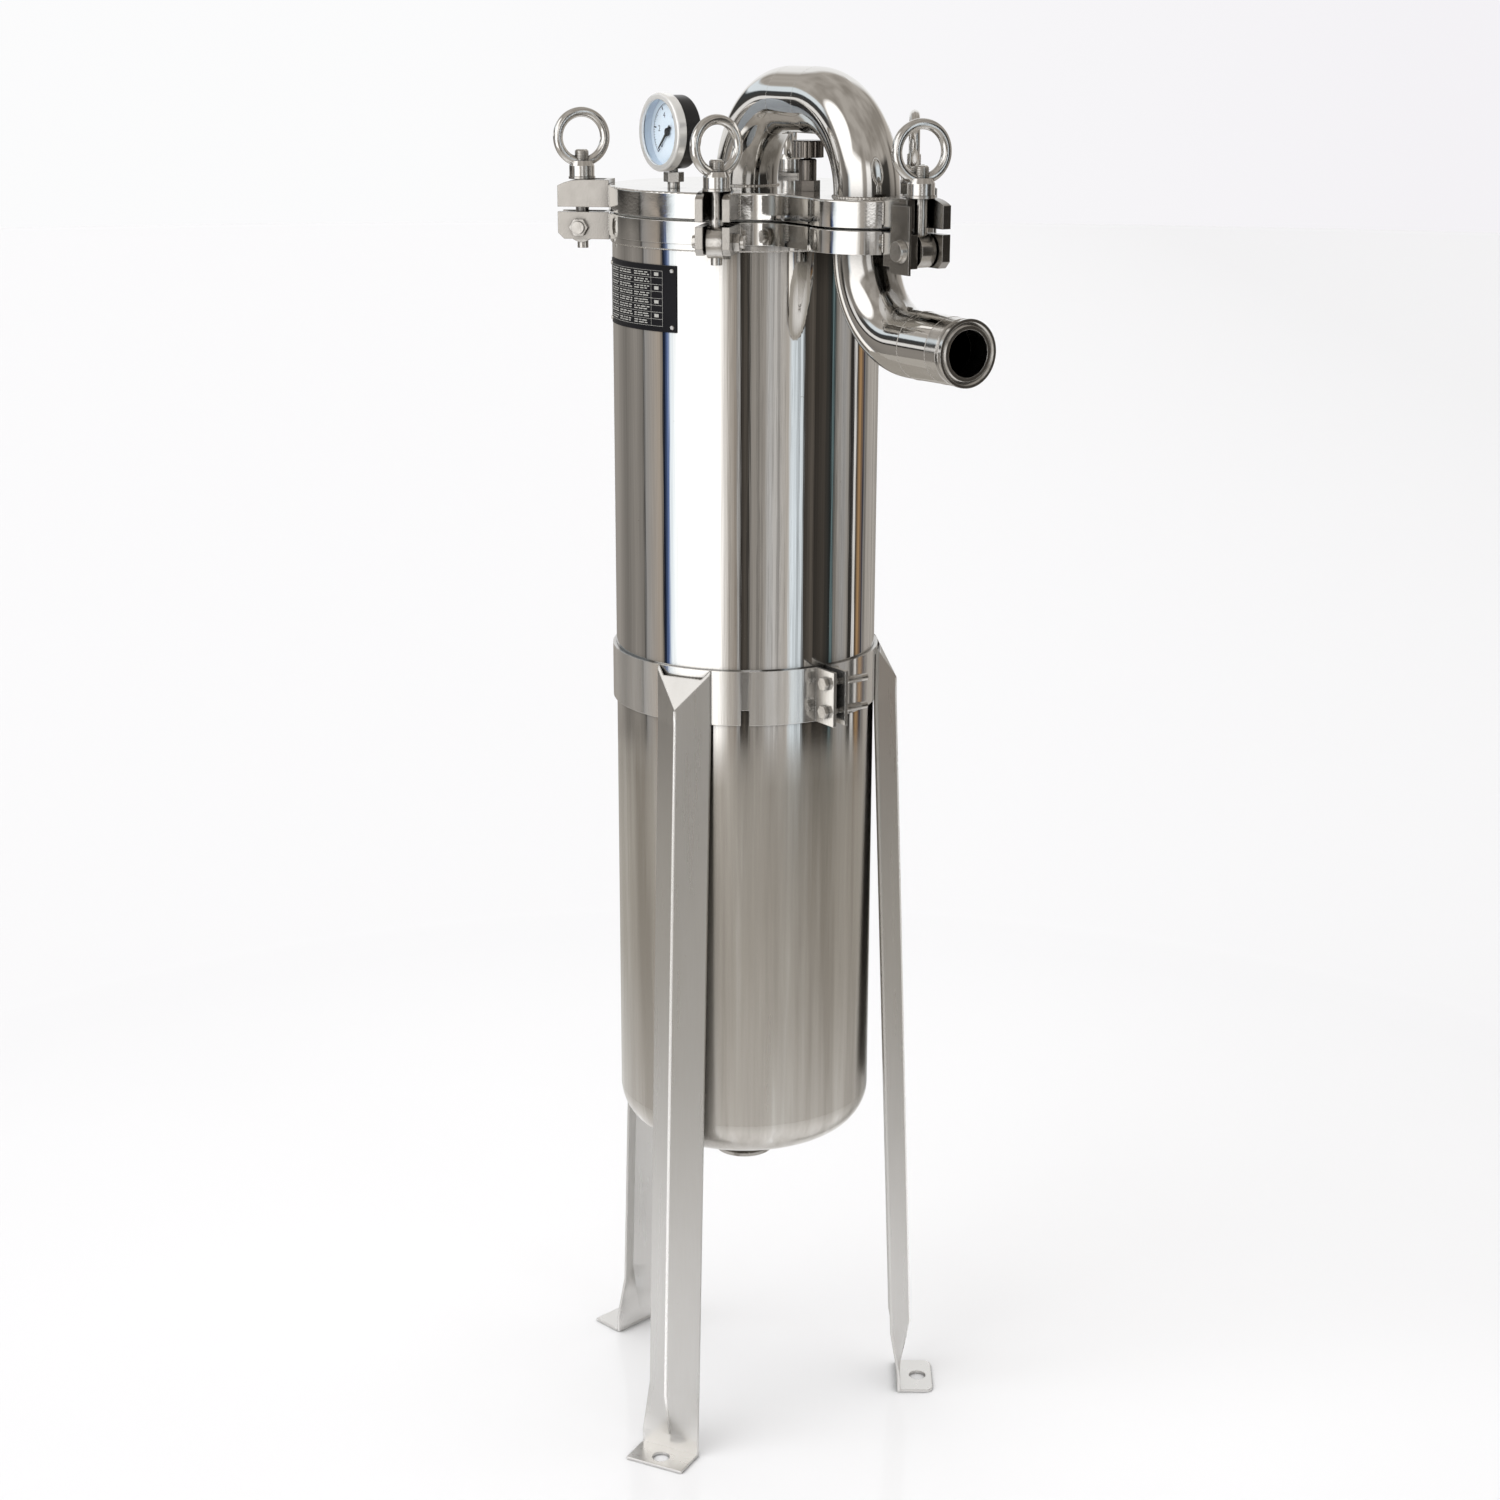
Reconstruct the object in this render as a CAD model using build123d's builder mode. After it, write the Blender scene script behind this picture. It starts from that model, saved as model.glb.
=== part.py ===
"""Top-entry bag filter housing for one 180 mm filter bag.

Millimetres, +Z up. The origin is on the vessel's axis, level with the undersides of the feet.
An azimuth is measured from the front (-Y) towards the right (+X).
"""
import os
from math import asin, cos, degrees, radians, sin, sqrt, tan
from typing import NamedTuple

from build123d import *

os.makedirs("parts", exist_ok=True)

# ---------------------------------------------------------------- driving sizes
SHELL_R = 109.5
SHELL_WALL = 3.0
HEAD_TANGENT_Z = 300.0
HEAD_KNUCKLE_R = 35.0
HEAD_CROWN_SAG = 12.0
WELD_GAP = 0.05

FLANGE_R = SHELL_R + 2.5
FLANGE_BOTTOM_Z = 1041.5
FLANGE_THICK = 18.0
COLLAR_H = 4.5
COLLAR_R = SHELL_R + 1.5
LID_GAP = 1.5
LID_THICK = 20.0
LID_EDGE_ROUND = 1.5

LOBE_AZ = 32.0
LOBE_OFFSET = FLANGE_R + 60.0
LOBE_R = 45.5
LOBE_NECK_HALF = 42.0
LOBE_NECK_FILLET = 30.0

BASKET_SEAT_R = FLANGE_R - 11.0
FLANGE_BORE_R = BASKET_SEAT_R - 5.0
BASKET_SEAT_DEPTH = 6.0

PIPE_R = 25.4
PIPE_WALL = 1.5
CROSSOVER_BEND_R = 68.0
CROSSOVER_STRAIGHT = 1.0
INLET_BEND_R = 64.0
INLET_DROP = 0.7
INLET_STRAIGHT = 14.0
REDUCER_LENGTH = 34.0
REDUCER_END_R = 24.8
SPIGOT_R = 19.05
SPIGOT_WALL = 1.6
FERRULE_R = 25.25
FERRULE_LIP = 2.9
FERRULE_CONE = 3.6
FERRULE_GROOVE_R = 21.6
INLET_FERRULE_LENGTH = 20.4
INLET_NECK_R = 23.4
OUTLET_LENGTH = 20.0

SEAL_SECTION = 4.0
SEAL_GROOVE_DEPTH = 2.9
PORT_SEAL_R = 31.0
SEAL_CLEARANCE = 0.1

BOLT_OFFSET = 24.0
PIN_Z = 1046.0
PIN_R = 5.0
PIN_FIT = 0.02
RUNNING_FIT = 0.05
LUG_SLOT = 15.0
LUG_REACH = 18.0
LUG_SLOT_BACK = 19.5
LID_LUG_RISE = 3.0
LUG_SWING_CLEARANCE = 0.3
LUG_PARTING = 1.2
LUG_CORNER = 5.0
EYE_R = 12.5
EYE_THICK = 12.5
BOLT_TAIL_R = 4.5
BOLT_TAIL_LENGTH = 17.5
BOLT_R = 5.5
BOLT_TOP_Z = 1107.5
WASHER_R = 11.0
WASHER_THICK = 2.0
SEAT_CLEARANCE = 0.05
NUT_BASE_R = 10.4
NUT_BASE_H = 12.5
RING_R = 19.9
RING_SECTION_R = 4.0
RING_SINK = 1.2
PIN_HEAD_H = 5.0
PIN_END = 3.0
LOBE_LID_CHEEK_REACH = 3.0
LOBE_BODY_CHEEK_REACH = 8.0
LOCATING_PLATE_THICK = 2.0
LOCATING_PLATE_TOP_Z = 1079.0
LOCATING_PLATE_BOTTOM_Z = 1029.0
LOCATING_PLATE_INNER = 14.0
LOCATING_PLATE_OUTER = 10.0
LOCATING_PLATE_GAP = 0.5

BASKET_R = BASKET_SEAT_R - 9.0
BASKET_WALL = 1.5
BASKET_RIM_THICK = 3.0
BASKET_BOTTOM_Z = 330.0
BASKET_SLOT_WIDTH = 10.0
BASKET_SLOT_HEIGHT = 84.0
BASKET_COLUMNS = 12
BASKET_ROWS = 6
BASKET_DRAIN_R = 9.0
BAG_WALL = 2.2
BAG_RING_THICK = 2.8
BAG_BOTTOM_ROUND = 24.0
SOFT_GAP = 0.3

BAND_THICK = 3.0
BAND_BOTTOM_Z = 655.8
BAND_HEIGHT = 45.5
BAND_NOTCH_WIDTH = 7.0
BAND_NOTCH_HEIGHT = 13.0
BAND_SPLIT_AZ = 34.6
BAND_SPLIT = 8.6
EAR_LENGTH = 27.0
BAND_BOLT_R = 3.0
BAND_BOLT_SPACING = 23.8
BAND_BOLT_LENGTH = 41.4
BAND_BOLT_AF = 10.0
BAND_HEAD_H = 4.0
BAND_NUT_H = 5.0

LEG_HALF_WIDTH = 24.0
LEG_RIDGE = 16.5
LEG_SHEET = 2.5
LEG_FOOT_X = 141.5
LEG_SPREAD_X = 134.0
LEG_KNEE_Z = 58.0
LEG_FLAT_Z = 15.0
LEG_CAP_DROP = 7.0
LEG_CAP_SLOPE = 60.0
FOOT_LENGTH = 32.5
FOOT_HALF_WIDTH = 27.0
FOOT_CORNER = 7.0
FOOT_HOLE_R = 7.6
FOOT_HOLE_OFFSET = 19.5

GAUGE_OFFSET = 76.5
GAUGE_AZ = -49.0
GAUGE_FACE_AZ = -57.0
GAUGE_Z = 1124.3
GAUGE_CASE_R = 28.4
GAUGE_BEZEL_R = 30.3
GAUGE_BACK = 9.5
GAUGE_CASE_DEPTH = 19.8
GAUGE_BEZEL_DEPTH = 8.0
GAUGE_DIAL_THICK = 1.0
GAUGE_BEZEL_LIP = 3.0
GAUGE_CASE_WALL = 1.5
GAUGE_HEX_AF = 14.0
GAUGE_STEM_R = 5.0
GAUGE_NECK_R = 3.5
GAUGE_HEX_BOTTOM = 5.0
GAUGE_HEX_H = 7.5
GAUGE_POINTER_LENGTH = 18.5
GAUGE_ZERO_ANGLE = 225.0
PORT_R = 3.0

VENT_OFFSET = 90.0
VENT_HEX_AF = 17.0
VENT_BODY_R = 7.0
VENT_KNOB_R = 12.5
VENT_KNOB_H = 13.0
VENT_BRIDGE_CLEARANCE = 5.1
VENT_SPINDLE_R = 3.0
VENT_FLUTES = 16

PLATE_WIDTH = 100.0
PLATE_HEIGHT = 52.0
PLATE_THICK = 0.8
PLATE_AZ = -56.0
PLATE_Z = 998.0
RIVET_R = 2.0
RIVET_INSET = 4.0

# ---------------------------------------------------------------- sizes that follow
FLANGE_TOP_Z = FLANGE_BOTTOM_Z + FLANGE_THICK
LID_BOTTOM_Z = FLANGE_TOP_Z + LID_GAP
LID_TOP_Z = LID_BOTTOM_Z + LID_THICK
SHELL_TOP_Z = FLANGE_BOTTOM_Z - COLLAR_H
SHELL_BORE_R = SHELL_R - SHELL_WALL
PIPE_BORE_R = PIPE_R - PIPE_WALL
SPIGOT_BORE_R = SPIGOT_R - SPIGOT_WALL
CROSSOVER_Z = LID_TOP_Z + CROSSOVER_STRAIGHT + CROSSOVER_BEND_R
VENT_TOP_Z = CROSSOVER_Z - PIPE_R - VENT_BRIDGE_CLEARANCE
LUG_TOP_Z = LID_TOP_Z + LID_LUG_RISE
LUG_ARM = LUG_TOP_Z - PIN_Z
SEAL_R = (BASKET_SEAT_R + FLANGE_R) / 2
BASKET_SEAT_Z = FLANGE_TOP_Z - BASKET_SEAT_DEPTH
WASHER_Z = LUG_TOP_Z + SEAT_CLEARANCE
NUT_Z = WASHER_Z + WASHER_THICK + SEAT_CLEARANCE
RING_Z = NUT_Z + NUT_BASE_H + RING_R - RING_SINK
BAND_R = SHELL_R + WELD_GAP
BAND_TOP_Z = BAND_BOTTOM_Z + BAND_HEIGHT
BASKET_BORE_R = BASKET_R - BASKET_WALL
BAG_R = BASKET_BORE_R - SOFT_GAP


def spot(azimuth, radius, height=0.0):
    """The point at this azimuth and distance from the vessel's axis."""
    return Vector(radius * sin(radians(azimuth)), -radius * cos(radians(azimuth)), height)


def radial_plane(azimuth, radius=0.0, height=0.0):
    """A level plane at a point round the vessel, with its x axis pointing outwards."""
    return Plane(origin=spot(azimuth, radius, height), x_dir=spot(azimuth, 1.0), z_dir=(0, 0, 1))


def upright_plane(azimuth, radius=0.0, height=0.0):
    """The upright plane through the axis: x outwards, y up."""
    along = spot(azimuth, 1.0)
    across = Vector(0, 0, 1).cross(along)
    return Plane(origin=spot(azimuth, radius, height), x_dir=along, z_dir=-across)


class Closure(NamedTuple):
    """One swing bolt with its two lugs, at the rim of the round flange or of the lobe."""

    azimuth: float
    rim_centre: float
    rim_r: float
    width: float
    body_lug_bottom: float
    pin_head_r: float
    ring_face: float

    @property
    def bolt_rho(self):
        """Distance from the vessel's axis to the swing bolt's axis."""
        return self.rim_centre + self.rim_r + BOLT_OFFSET

    @property
    def side_plane(self):
        """The upright plane along the closure, through the pin's centre."""
        return upright_plane(self.azimuth, self.bolt_rho, PIN_Z)


CLOSURES = {
    1: Closure(-98.0, 0.0, FLANGE_R, 27.0, 1036.5, 6.5, 20.0),
    2: Closure(-9.7, 0.0, FLANGE_R, 27.0, 1036.5, 6.5, 36.0),
    3: Closure(LOBE_AZ, LOBE_OFFSET, LOBE_R, 29.0, 1033.5, 9.0, 21.0),
    4: Closure(80.0, 0.0, FLANGE_R, 27.0, 1036.5, 6.5, 88.0),
    5: Closure(164.0, 0.0, FLANGE_R, 27.0, 1036.5, 6.5, 84.0),
}


def pear_outline():
    """The round flange with its lobe over the inlet pipe, drawn on the current sketch."""
    Circle(FLANGE_R)
    with Locations(spot(LOBE_AZ, LOBE_OFFSET)):
        Circle(LOBE_R)
    with Locations(radial_plane(LOBE_AZ, LOBE_OFFSET / 2).location):
        Rectangle(LOBE_OFFSET, 2 * LOBE_NECK_HALF)
    notch_az = degrees(asin(LOBE_NECK_HALF / FLANGE_R))
    corners = [spot(LOBE_AZ + side * notch_az, FLANGE_R) for side in (-1, 1)]
    drawn = BuildSketch._get_context()
    fillet([drawn.vertices().sort_by_distance(corner)[0] for corner in corners], LOBE_NECK_FILLET)


# ---------------------------------------------------------------- vessel
with BuildPart() as shell_tube:
    with BuildSketch(Plane.XY.offset(HEAD_TANGENT_Z)):
        Circle(SHELL_R)
        Circle(SHELL_BORE_R, mode=Mode.SUBTRACT)
    extrude(amount=SHELL_TOP_Z - HEAD_TANGENT_Z)
shell_tube.part.label = "shell_tube"
export_step(shell_tube.part, "parts/shell_tube.step")

HEAD_CROWN_EDGE_R = SHELL_R - HEAD_KNUCKLE_R
HEAD_BOTTOM_Z = HEAD_TANGENT_Z - HEAD_KNUCKLE_R - HEAD_CROWN_SAG


def head_profile(inset):
    """Half of the dished head's section, drawn inset from the outside by the wall."""
    knuckle = HEAD_KNUCKLE_R - inset
    flat_z = HEAD_TANGENT_Z - knuckle
    lean = radians(16.0)
    join = (HEAD_CROWN_EDGE_R + knuckle * sin(lean), HEAD_TANGENT_Z - knuckle * cos(lean))
    side = (HEAD_CROWN_EDGE_R + knuckle, HEAD_TANGENT_Z)
    middle = radians(53.0)
    bulge = (HEAD_CROWN_EDGE_R + knuckle * sin(middle), HEAD_TANGENT_Z - knuckle * cos(middle))
    crown_z = flat_z - HEAD_CROWN_SAG
    with BuildLine() as section:
        Line((0, HEAD_TANGENT_Z), side)
        ThreePointArc(side, bulge, join)
        half = (join[0] / 2, crown_z + (join[1] - crown_z) * 0.25)
        ThreePointArc(join, half, (0, crown_z))
        Line((0, crown_z), (0, HEAD_TANGENT_Z))
    make_face(section.edges())


with BuildPart() as bottom_head:
    with BuildSketch(Plane.XZ):
        head_profile(0.0)
    revolve(axis=Axis.Z)
    with BuildSketch(Plane.XZ):
        head_profile(SHELL_WALL)
    revolve(axis=Axis.Z, mode=Mode.SUBTRACT)
    with Locations((0, 0, HEAD_BOTTOM_Z)):
        Cylinder(SPIGOT_R + WELD_GAP, 4 * HEAD_CROWN_SAG, mode=Mode.SUBTRACT)
bottom_head.part.label = "bottom_head"
export_step(bottom_head.part, "parts/bottom_head.step")


def ferrule_profile(start, end, hub_r, neck_r):
    """Section of a clamp ferrule from its welded end to its face, against radius and length."""
    lip = end - FERRULE_LIP
    root = lip - FERRULE_CONE
    with BuildLine() as section:
        Polyline(
            (SPIGOT_BORE_R, start),
            (hub_r, start),
            (hub_r, root - 1.0),
            (neck_r, root),
            (FERRULE_R, lip),
            (FERRULE_R, end),
            (FERRULE_GROOVE_R + 1.4, end),
            (FERRULE_GROOVE_R, end - 1.3),
            (FERRULE_GROOVE_R - 1.4, end),
            (SPIGOT_BORE_R, end),
            close=True,
        )
    make_face(section.edges())


OUTLET_FACE_Z = HEAD_BOTTOM_Z - OUTLET_LENGTH
down_plane = Plane(origin=(0, 0, HEAD_BOTTOM_Z + SHELL_WALL), x_dir=(1, 0, 0), z_dir=(0, 1, 0))
with BuildPart() as outlet_ferrule:
    with BuildSketch(down_plane):
        ferrule_profile(0.0, OUTLET_LENGTH + SHELL_WALL, SPIGOT_R, SPIGOT_R - 0.5)
    revolve(axis=Axis.Z)
outlet_ferrule.part.label = "outlet_ferrule"
export_step(outlet_ferrule.part, "parts/outlet_ferrule.step")

with BuildPart() as body_flange:
    with BuildSketch(Plane.XY.offset(FLANGE_BOTTOM_Z)):
        pear_outline()
        Circle(FLANGE_BORE_R, mode=Mode.SUBTRACT)
        with Locations(spot(LOBE_AZ, LOBE_OFFSET)):
            Circle(PIPE_BORE_R, mode=Mode.SUBTRACT)
    extrude(amount=FLANGE_THICK)
    chamfer(body_flange.faces().sort_by(Axis.Z)[-1].outer_wire().edges(), 1.0)
    with BuildSketch(Plane.XY.offset(SHELL_TOP_Z)):
        Circle(COLLAR_R)
        Circle(SHELL_BORE_R, mode=Mode.SUBTRACT)
    extrude(amount=COLLAR_H)
    with BuildSketch(Plane.XY.offset(BASKET_SEAT_Z)):
        Circle(BASKET_SEAT_R)
    extrude(amount=BASKET_SEAT_DEPTH, mode=Mode.SUBTRACT)
    with BuildSketch(Plane.XY.offset(FLANGE_TOP_Z - SEAL_GROOVE_DEPTH)):
        Circle(SEAL_R + SEAL_SECTION / 2)
        Circle(SEAL_R - SEAL_SECTION / 2, mode=Mode.SUBTRACT)
        with Locations(spot(LOBE_AZ, LOBE_OFFSET)):
            Circle(PORT_SEAL_R + SEAL_SECTION / 2)
            Circle(PORT_SEAL_R - SEAL_SECTION / 2, mode=Mode.SUBTRACT)
    extrude(amount=SEAL_GROOVE_DEPTH, mode=Mode.SUBTRACT)
body_flange.part.label = "body_flange"
export_step(body_flange.part, "parts/body_flange.step")


def seal_section(radius):
    """Round cord section of an O-ring that stands in its groove, just clear of the lid."""
    top = LID_BOTTOM_Z - SEAL_CLEARANCE
    with Locations((radius, top - SEAL_SECTION / 2)):
        Circle(SEAL_SECTION / 2 - WELD_GAP)


with BuildPart() as lid_seal:
    with BuildSketch(Plane.XZ):
        seal_section(SEAL_R)
    revolve(axis=Axis.Z)
lid_seal.part.label = "lid_seal"
export_step(lid_seal.part, "parts/lid_seal.step")

lobe_upright = upright_plane(LOBE_AZ, LOBE_OFFSET)
lobe_axis = Axis(spot(LOBE_AZ, LOBE_OFFSET), (0, 0, 1))
with BuildPart() as port_seal:
    with BuildSketch(lobe_upright):
        seal_section(PORT_SEAL_R)
    revolve(axis=lobe_axis)
port_seal.part.label = "port_seal"
export_step(port_seal.part, "parts/port_seal.step")


# ---------------------------------------------------------------- inlet pipe
def pipe_section():
    """Tube wall section."""
    Circle(PIPE_R)
    Circle(PIPE_BORE_R, mode=Mode.SUBTRACT)


upright = upright_plane(LOBE_AZ)
INLET_BEND_Z = FLANGE_BOTTOM_Z - INLET_DROP
INLET_AXIS_Z = INLET_BEND_Z - INLET_BEND_R
INLET_BEND_END = LOBE_OFFSET + INLET_BEND_R
REDUCER_START = INLET_BEND_END + INLET_STRAIGHT
SPIGOT_START = REDUCER_START + REDUCER_LENGTH
INLET_FACE = SPIGOT_START + INLET_FERRULE_LENGTH
outward = spot(LOBE_AZ, 1.0)

with BuildPart() as inlet_elbow:
    with BuildLine(upright) as inlet_route:
        Line((LOBE_OFFSET, FLANGE_BOTTOM_Z), (LOBE_OFFSET, INLET_BEND_Z))
        CenterArc((INLET_BEND_END, INLET_BEND_Z), INLET_BEND_R, 180, 90)
        Line((INLET_BEND_END, INLET_AXIS_Z), (REDUCER_START, INLET_AXIS_Z))
    with BuildSketch(radial_plane(LOBE_AZ, LOBE_OFFSET, FLANGE_BOTTOM_Z)):
        pipe_section()
    sweep(path=inlet_route.wires()[0])
inlet_elbow.part.label = "inlet_elbow"
export_step(inlet_elbow.part, "parts/inlet_elbow.step")

reducer_axis = Axis(spot(LOBE_AZ, REDUCER_START, INLET_AXIS_Z), outward)
with BuildPart() as inlet_reducer:
    with BuildSketch(upright):
        with BuildLine():
            Polyline(
                (REDUCER_START, INLET_AXIS_Z + PIPE_BORE_R),
                (REDUCER_START, INLET_AXIS_Z + PIPE_R),
                (SPIGOT_START, INLET_AXIS_Z + REDUCER_END_R),
                (SPIGOT_START, INLET_AXIS_Z + SPIGOT_BORE_R),
                close=True,
            )
        make_face()
    revolve(axis=reducer_axis)
inlet_reducer.part.label = "inlet_reducer"
export_step(inlet_reducer.part, "parts/inlet_reducer.step")

mouth_plane = Plane(origin=spot(LOBE_AZ, SPIGOT_START, INLET_AXIS_Z), x_dir=(0, 0, 1), z_dir=-upright.z_dir)
with BuildPart() as inlet_ferrule:
    with BuildSketch(mouth_plane):
        ferrule_profile(0.0, INLET_FERRULE_LENGTH, REDUCER_END_R, INLET_NECK_R)
    revolve(axis=reducer_axis)
inlet_ferrule.part.label = "inlet_ferrule"
export_step(inlet_ferrule.part, "parts/inlet_ferrule.step")

# ---------------------------------------------------------------- lid and crossover pipe
gauge_foot = spot(GAUGE_AZ, GAUGE_OFFSET)
vent_foot = spot(LOBE_AZ, VENT_OFFSET)
with BuildPart() as lid_plate:
    with BuildSketch(Plane.XY.offset(LID_BOTTOM_Z)):
        pear_outline()
    extrude(amount=LID_THICK)
    rims = [lid_plate.faces().sort_by(Axis.Z)[end].outer_wire().edges() for end in (0, -1)]
    fillet(rims[1], LID_EDGE_ROUND)
    with BuildSketch(Plane.XY.offset(LID_BOTTOM_Z)):
        with Locations((0, 0), spot(LOBE_AZ, LOBE_OFFSET)):
            Circle(PIPE_BORE_R)
        with Locations(gauge_foot, vent_foot):
            Circle(PORT_R)
    extrude(amount=LID_THICK, mode=Mode.SUBTRACT)
lid_plate.part.label = "lid_plate"
export_step(lid_plate.part, "parts/lid_plate.step")

CROSSOVER_BEND_Z = CROSSOVER_Z - CROSSOVER_BEND_R
for name, foot, turn, centre in (
    ("crossover_elbow_centre", 0.0, 90, CROSSOVER_BEND_R),
    ("crossover_elbow_lobe", LOBE_OFFSET, 0, LOBE_OFFSET - CROSSOVER_BEND_R),
):
    with BuildPart() as crossover_elbow:
        with BuildLine(upright) as bend_route:
            Line((foot, LID_TOP_Z), (foot, CROSSOVER_BEND_Z))
            CenterArc((centre, CROSSOVER_BEND_Z), CROSSOVER_BEND_R, turn, 90)
        with BuildSketch(radial_plane(LOBE_AZ, foot, LID_TOP_Z)):
            pipe_section()
        sweep(path=bend_route.wires()[0])
    crossover_elbow.part.label = name
    export_step(crossover_elbow.part, f"parts/{name}.step")

bridge_plane = Plane(origin=spot(LOBE_AZ, CROSSOVER_BEND_R, CROSSOVER_Z), x_dir=(0, 0, 1), z_dir=outward)
with BuildPart() as crossover_bridge:
    with BuildSketch(bridge_plane):
        pipe_section()
    extrude(amount=LOBE_OFFSET - 2 * CROSSOVER_BEND_R)
crossover_bridge.part.label = "crossover_bridge"
export_step(crossover_bridge.part, "parts/crossover_bridge.step")


# ---------------------------------------------------------------- swing-bolt closures
def lug_slot(at):
    """The bolt's slot through a lug, open outwards."""
    length = LUG_SLOT_BACK + 2 * LUG_REACH
    with BuildSketch(at) as slot:
        with Locations((length / 2 - LUG_SLOT_BACK, 0)):
            Rectangle(length, LUG_SLOT)
    extrude(slot.sketch, amount=2 * LUG_ARM, mode=Mode.SUBTRACT)


def cut_near_cheek(closure, reach):
    """Shorten the cheek that carries the locating plate to this reach past the bolt's axis."""
    with BuildSketch(closure.side_plane.offset(LUG_SLOT / 4)) as short:
        with Locations((reach + LUG_REACH, 0)):
            Rectangle(2 * LUG_REACH, 4 * LUG_ARM)
    extrude(short.sketch, amount=closure.width, mode=Mode.SUBTRACT)


LID_LUG_BOTTOM_Z = LID_BOTTOM_Z + LUG_PARTING
BODY_LUG_TOP_Z = FLANGE_TOP_Z - LUG_PARTING
for number, closure in CLOSURES.items():
    bolt_plane = radial_plane(closure.azimuth, closure.bolt_rho)
    rim_spot = spot(closure.azimuth, closure.rim_centre)

    with BuildPart() as lid_lug:
        with BuildSketch(closure.side_plane):
            low = LID_LUG_BOTTOM_Z - PIN_Z
            swing_r = LUG_ARM - LUG_SWING_CLEARANCE
            crest, middle, lip = [(x, sqrt(swing_r**2 - x**2)) for x in (2.0, LUG_REACH / 2, LUG_REACH)]
            with BuildLine():
                Line((-BOLT_OFFSET - 2, low), (LUG_REACH, low))
                Line((LUG_REACH, low), lip)
                ThreePointArc(lip, middle, crest)
                Line(crest, (-2.0, LUG_ARM))
                Line((-2.0, LUG_ARM), (-BOLT_OFFSET - 2, LUG_ARM))
                Line((-BOLT_OFFSET - 2, LUG_ARM), (-BOLT_OFFSET - 2, low))
            make_face()
        extrude(amount=closure.width / 2, both=True)
        lug_slot(bolt_plane.offset(LID_LUG_BOTTOM_Z))
        with BuildSketch(Plane.XY.offset(LID_LUG_BOTTOM_Z)):
            with Locations(rim_spot):
                Circle(closure.rim_r + WELD_GAP)
        extrude(amount=2 * LUG_ARM, mode=Mode.SUBTRACT)
        if closure.rim_r == LOBE_R:
            cut_near_cheek(closure, LOBE_LID_CHEEK_REACH)
    lid_lug.part.label = f"lid_lug_{number}"
    export_step(lid_lug.part, f"parts/lid_lug_{number}.step")

    with BuildPart() as body_lug:
        with BuildSketch(closure.side_plane):
            low = closure.body_lug_bottom - PIN_Z
            high = BODY_LUG_TOP_Z - PIN_Z
            with BuildLine():
                Polyline(
                    (-BOLT_OFFSET - 2, high),
                    (LUG_REACH, high),
                    (LUG_REACH, low + LUG_CORNER),
                    (LUG_REACH - LUG_CORNER, low),
                    (-BOLT_OFFSET - 2, low),
                    close=True,
                )
            make_face()
            Circle(PIN_R + PIN_FIT, mode=Mode.SUBTRACT)
        extrude(amount=closure.width / 2, both=True)
        lug_slot(bolt_plane.offset(closure.body_lug_bottom))
        with BuildSketch(Plane.XY.offset(closure.body_lug_bottom)):
            with Locations(rim_spot):
                Circle(closure.rim_r + WELD_GAP)
        extrude(amount=2 * LUG_ARM, mode=Mode.SUBTRACT)
        if closure.rim_r == LOBE_R:
            cut_near_cheek(closure, LOBE_BODY_CHEEK_REACH)
    body_lug.part.label = f"body_lug_{number}"
    export_step(body_lug.part, f"parts/body_lug_{number}.step")

    with BuildPart() as swing_bolt:
        with BuildSketch(closure.side_plane):
            Circle(EYE_R)
        extrude(amount=EYE_THICK / 2, both=True)
        if closure.rim_r != LOBE_R:
            with BuildSketch(bolt_plane.offset(PIN_Z)):
                Circle(BOLT_TAIL_R)
            extrude(amount=-BOLT_TAIL_LENGTH)
        with BuildSketch(bolt_plane.offset(PIN_Z)):
            Circle(BOLT_R)
        extrude(amount=BOLT_TOP_Z - PIN_Z)
        chamfer(swing_bolt.faces().sort_by(Axis.Z)[-1].edges(), 1.2)
        with BuildSketch(closure.side_plane):
            Circle(PIN_R + RUNNING_FIT)
        extrude(amount=EYE_THICK, both=True, mode=Mode.SUBTRACT)
    swing_bolt.part.label = f"swing_bolt_{number}"
    export_step(swing_bolt.part, f"parts/swing_bolt_{number}.step")

    with BuildPart() as washer:
        with BuildSketch(bolt_plane.offset(WASHER_Z)):
            Circle(WASHER_R)
            Circle(BOLT_R + RUNNING_FIT, mode=Mode.SUBTRACT)
        extrude(amount=WASHER_THICK)
    washer.part.label = f"washer_{number}"
    export_step(washer.part, f"parts/washer_{number}.step")

    ring_plane = Plane(
        origin=spot(closure.azimuth, closure.bolt_rho, RING_Z),
        x_dir=(cos(radians(closure.ring_face)), sin(radians(closure.ring_face)), 0),
        z_dir=spot(closure.ring_face, 1.0),
    )
    nut_plane = bolt_plane.offset(NUT_Z)
    with BuildPart() as eye_nut:
        with BuildSketch(nut_plane):
            Circle(NUT_BASE_R)
        extrude(amount=NUT_BASE_H - 4)
        with BuildSketch(nut_plane.offset(NUT_BASE_H - 4)):
            Circle(NUT_BASE_R)
        extrude(amount=4, taper=24)
        add(Torus(RING_R, RING_SECTION_R, mode=Mode.PRIVATE).moved(ring_plane.location))
        with BuildSketch(nut_plane):
            Circle(BOLT_R + RUNNING_FIT)
        extrude(amount=RING_Z - NUT_Z, mode=Mode.SUBTRACT)
    eye_nut.part.label = f"eye_nut_{number}"
    export_step(eye_nut.part, f"parts/eye_nut_{number}.step")

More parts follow.
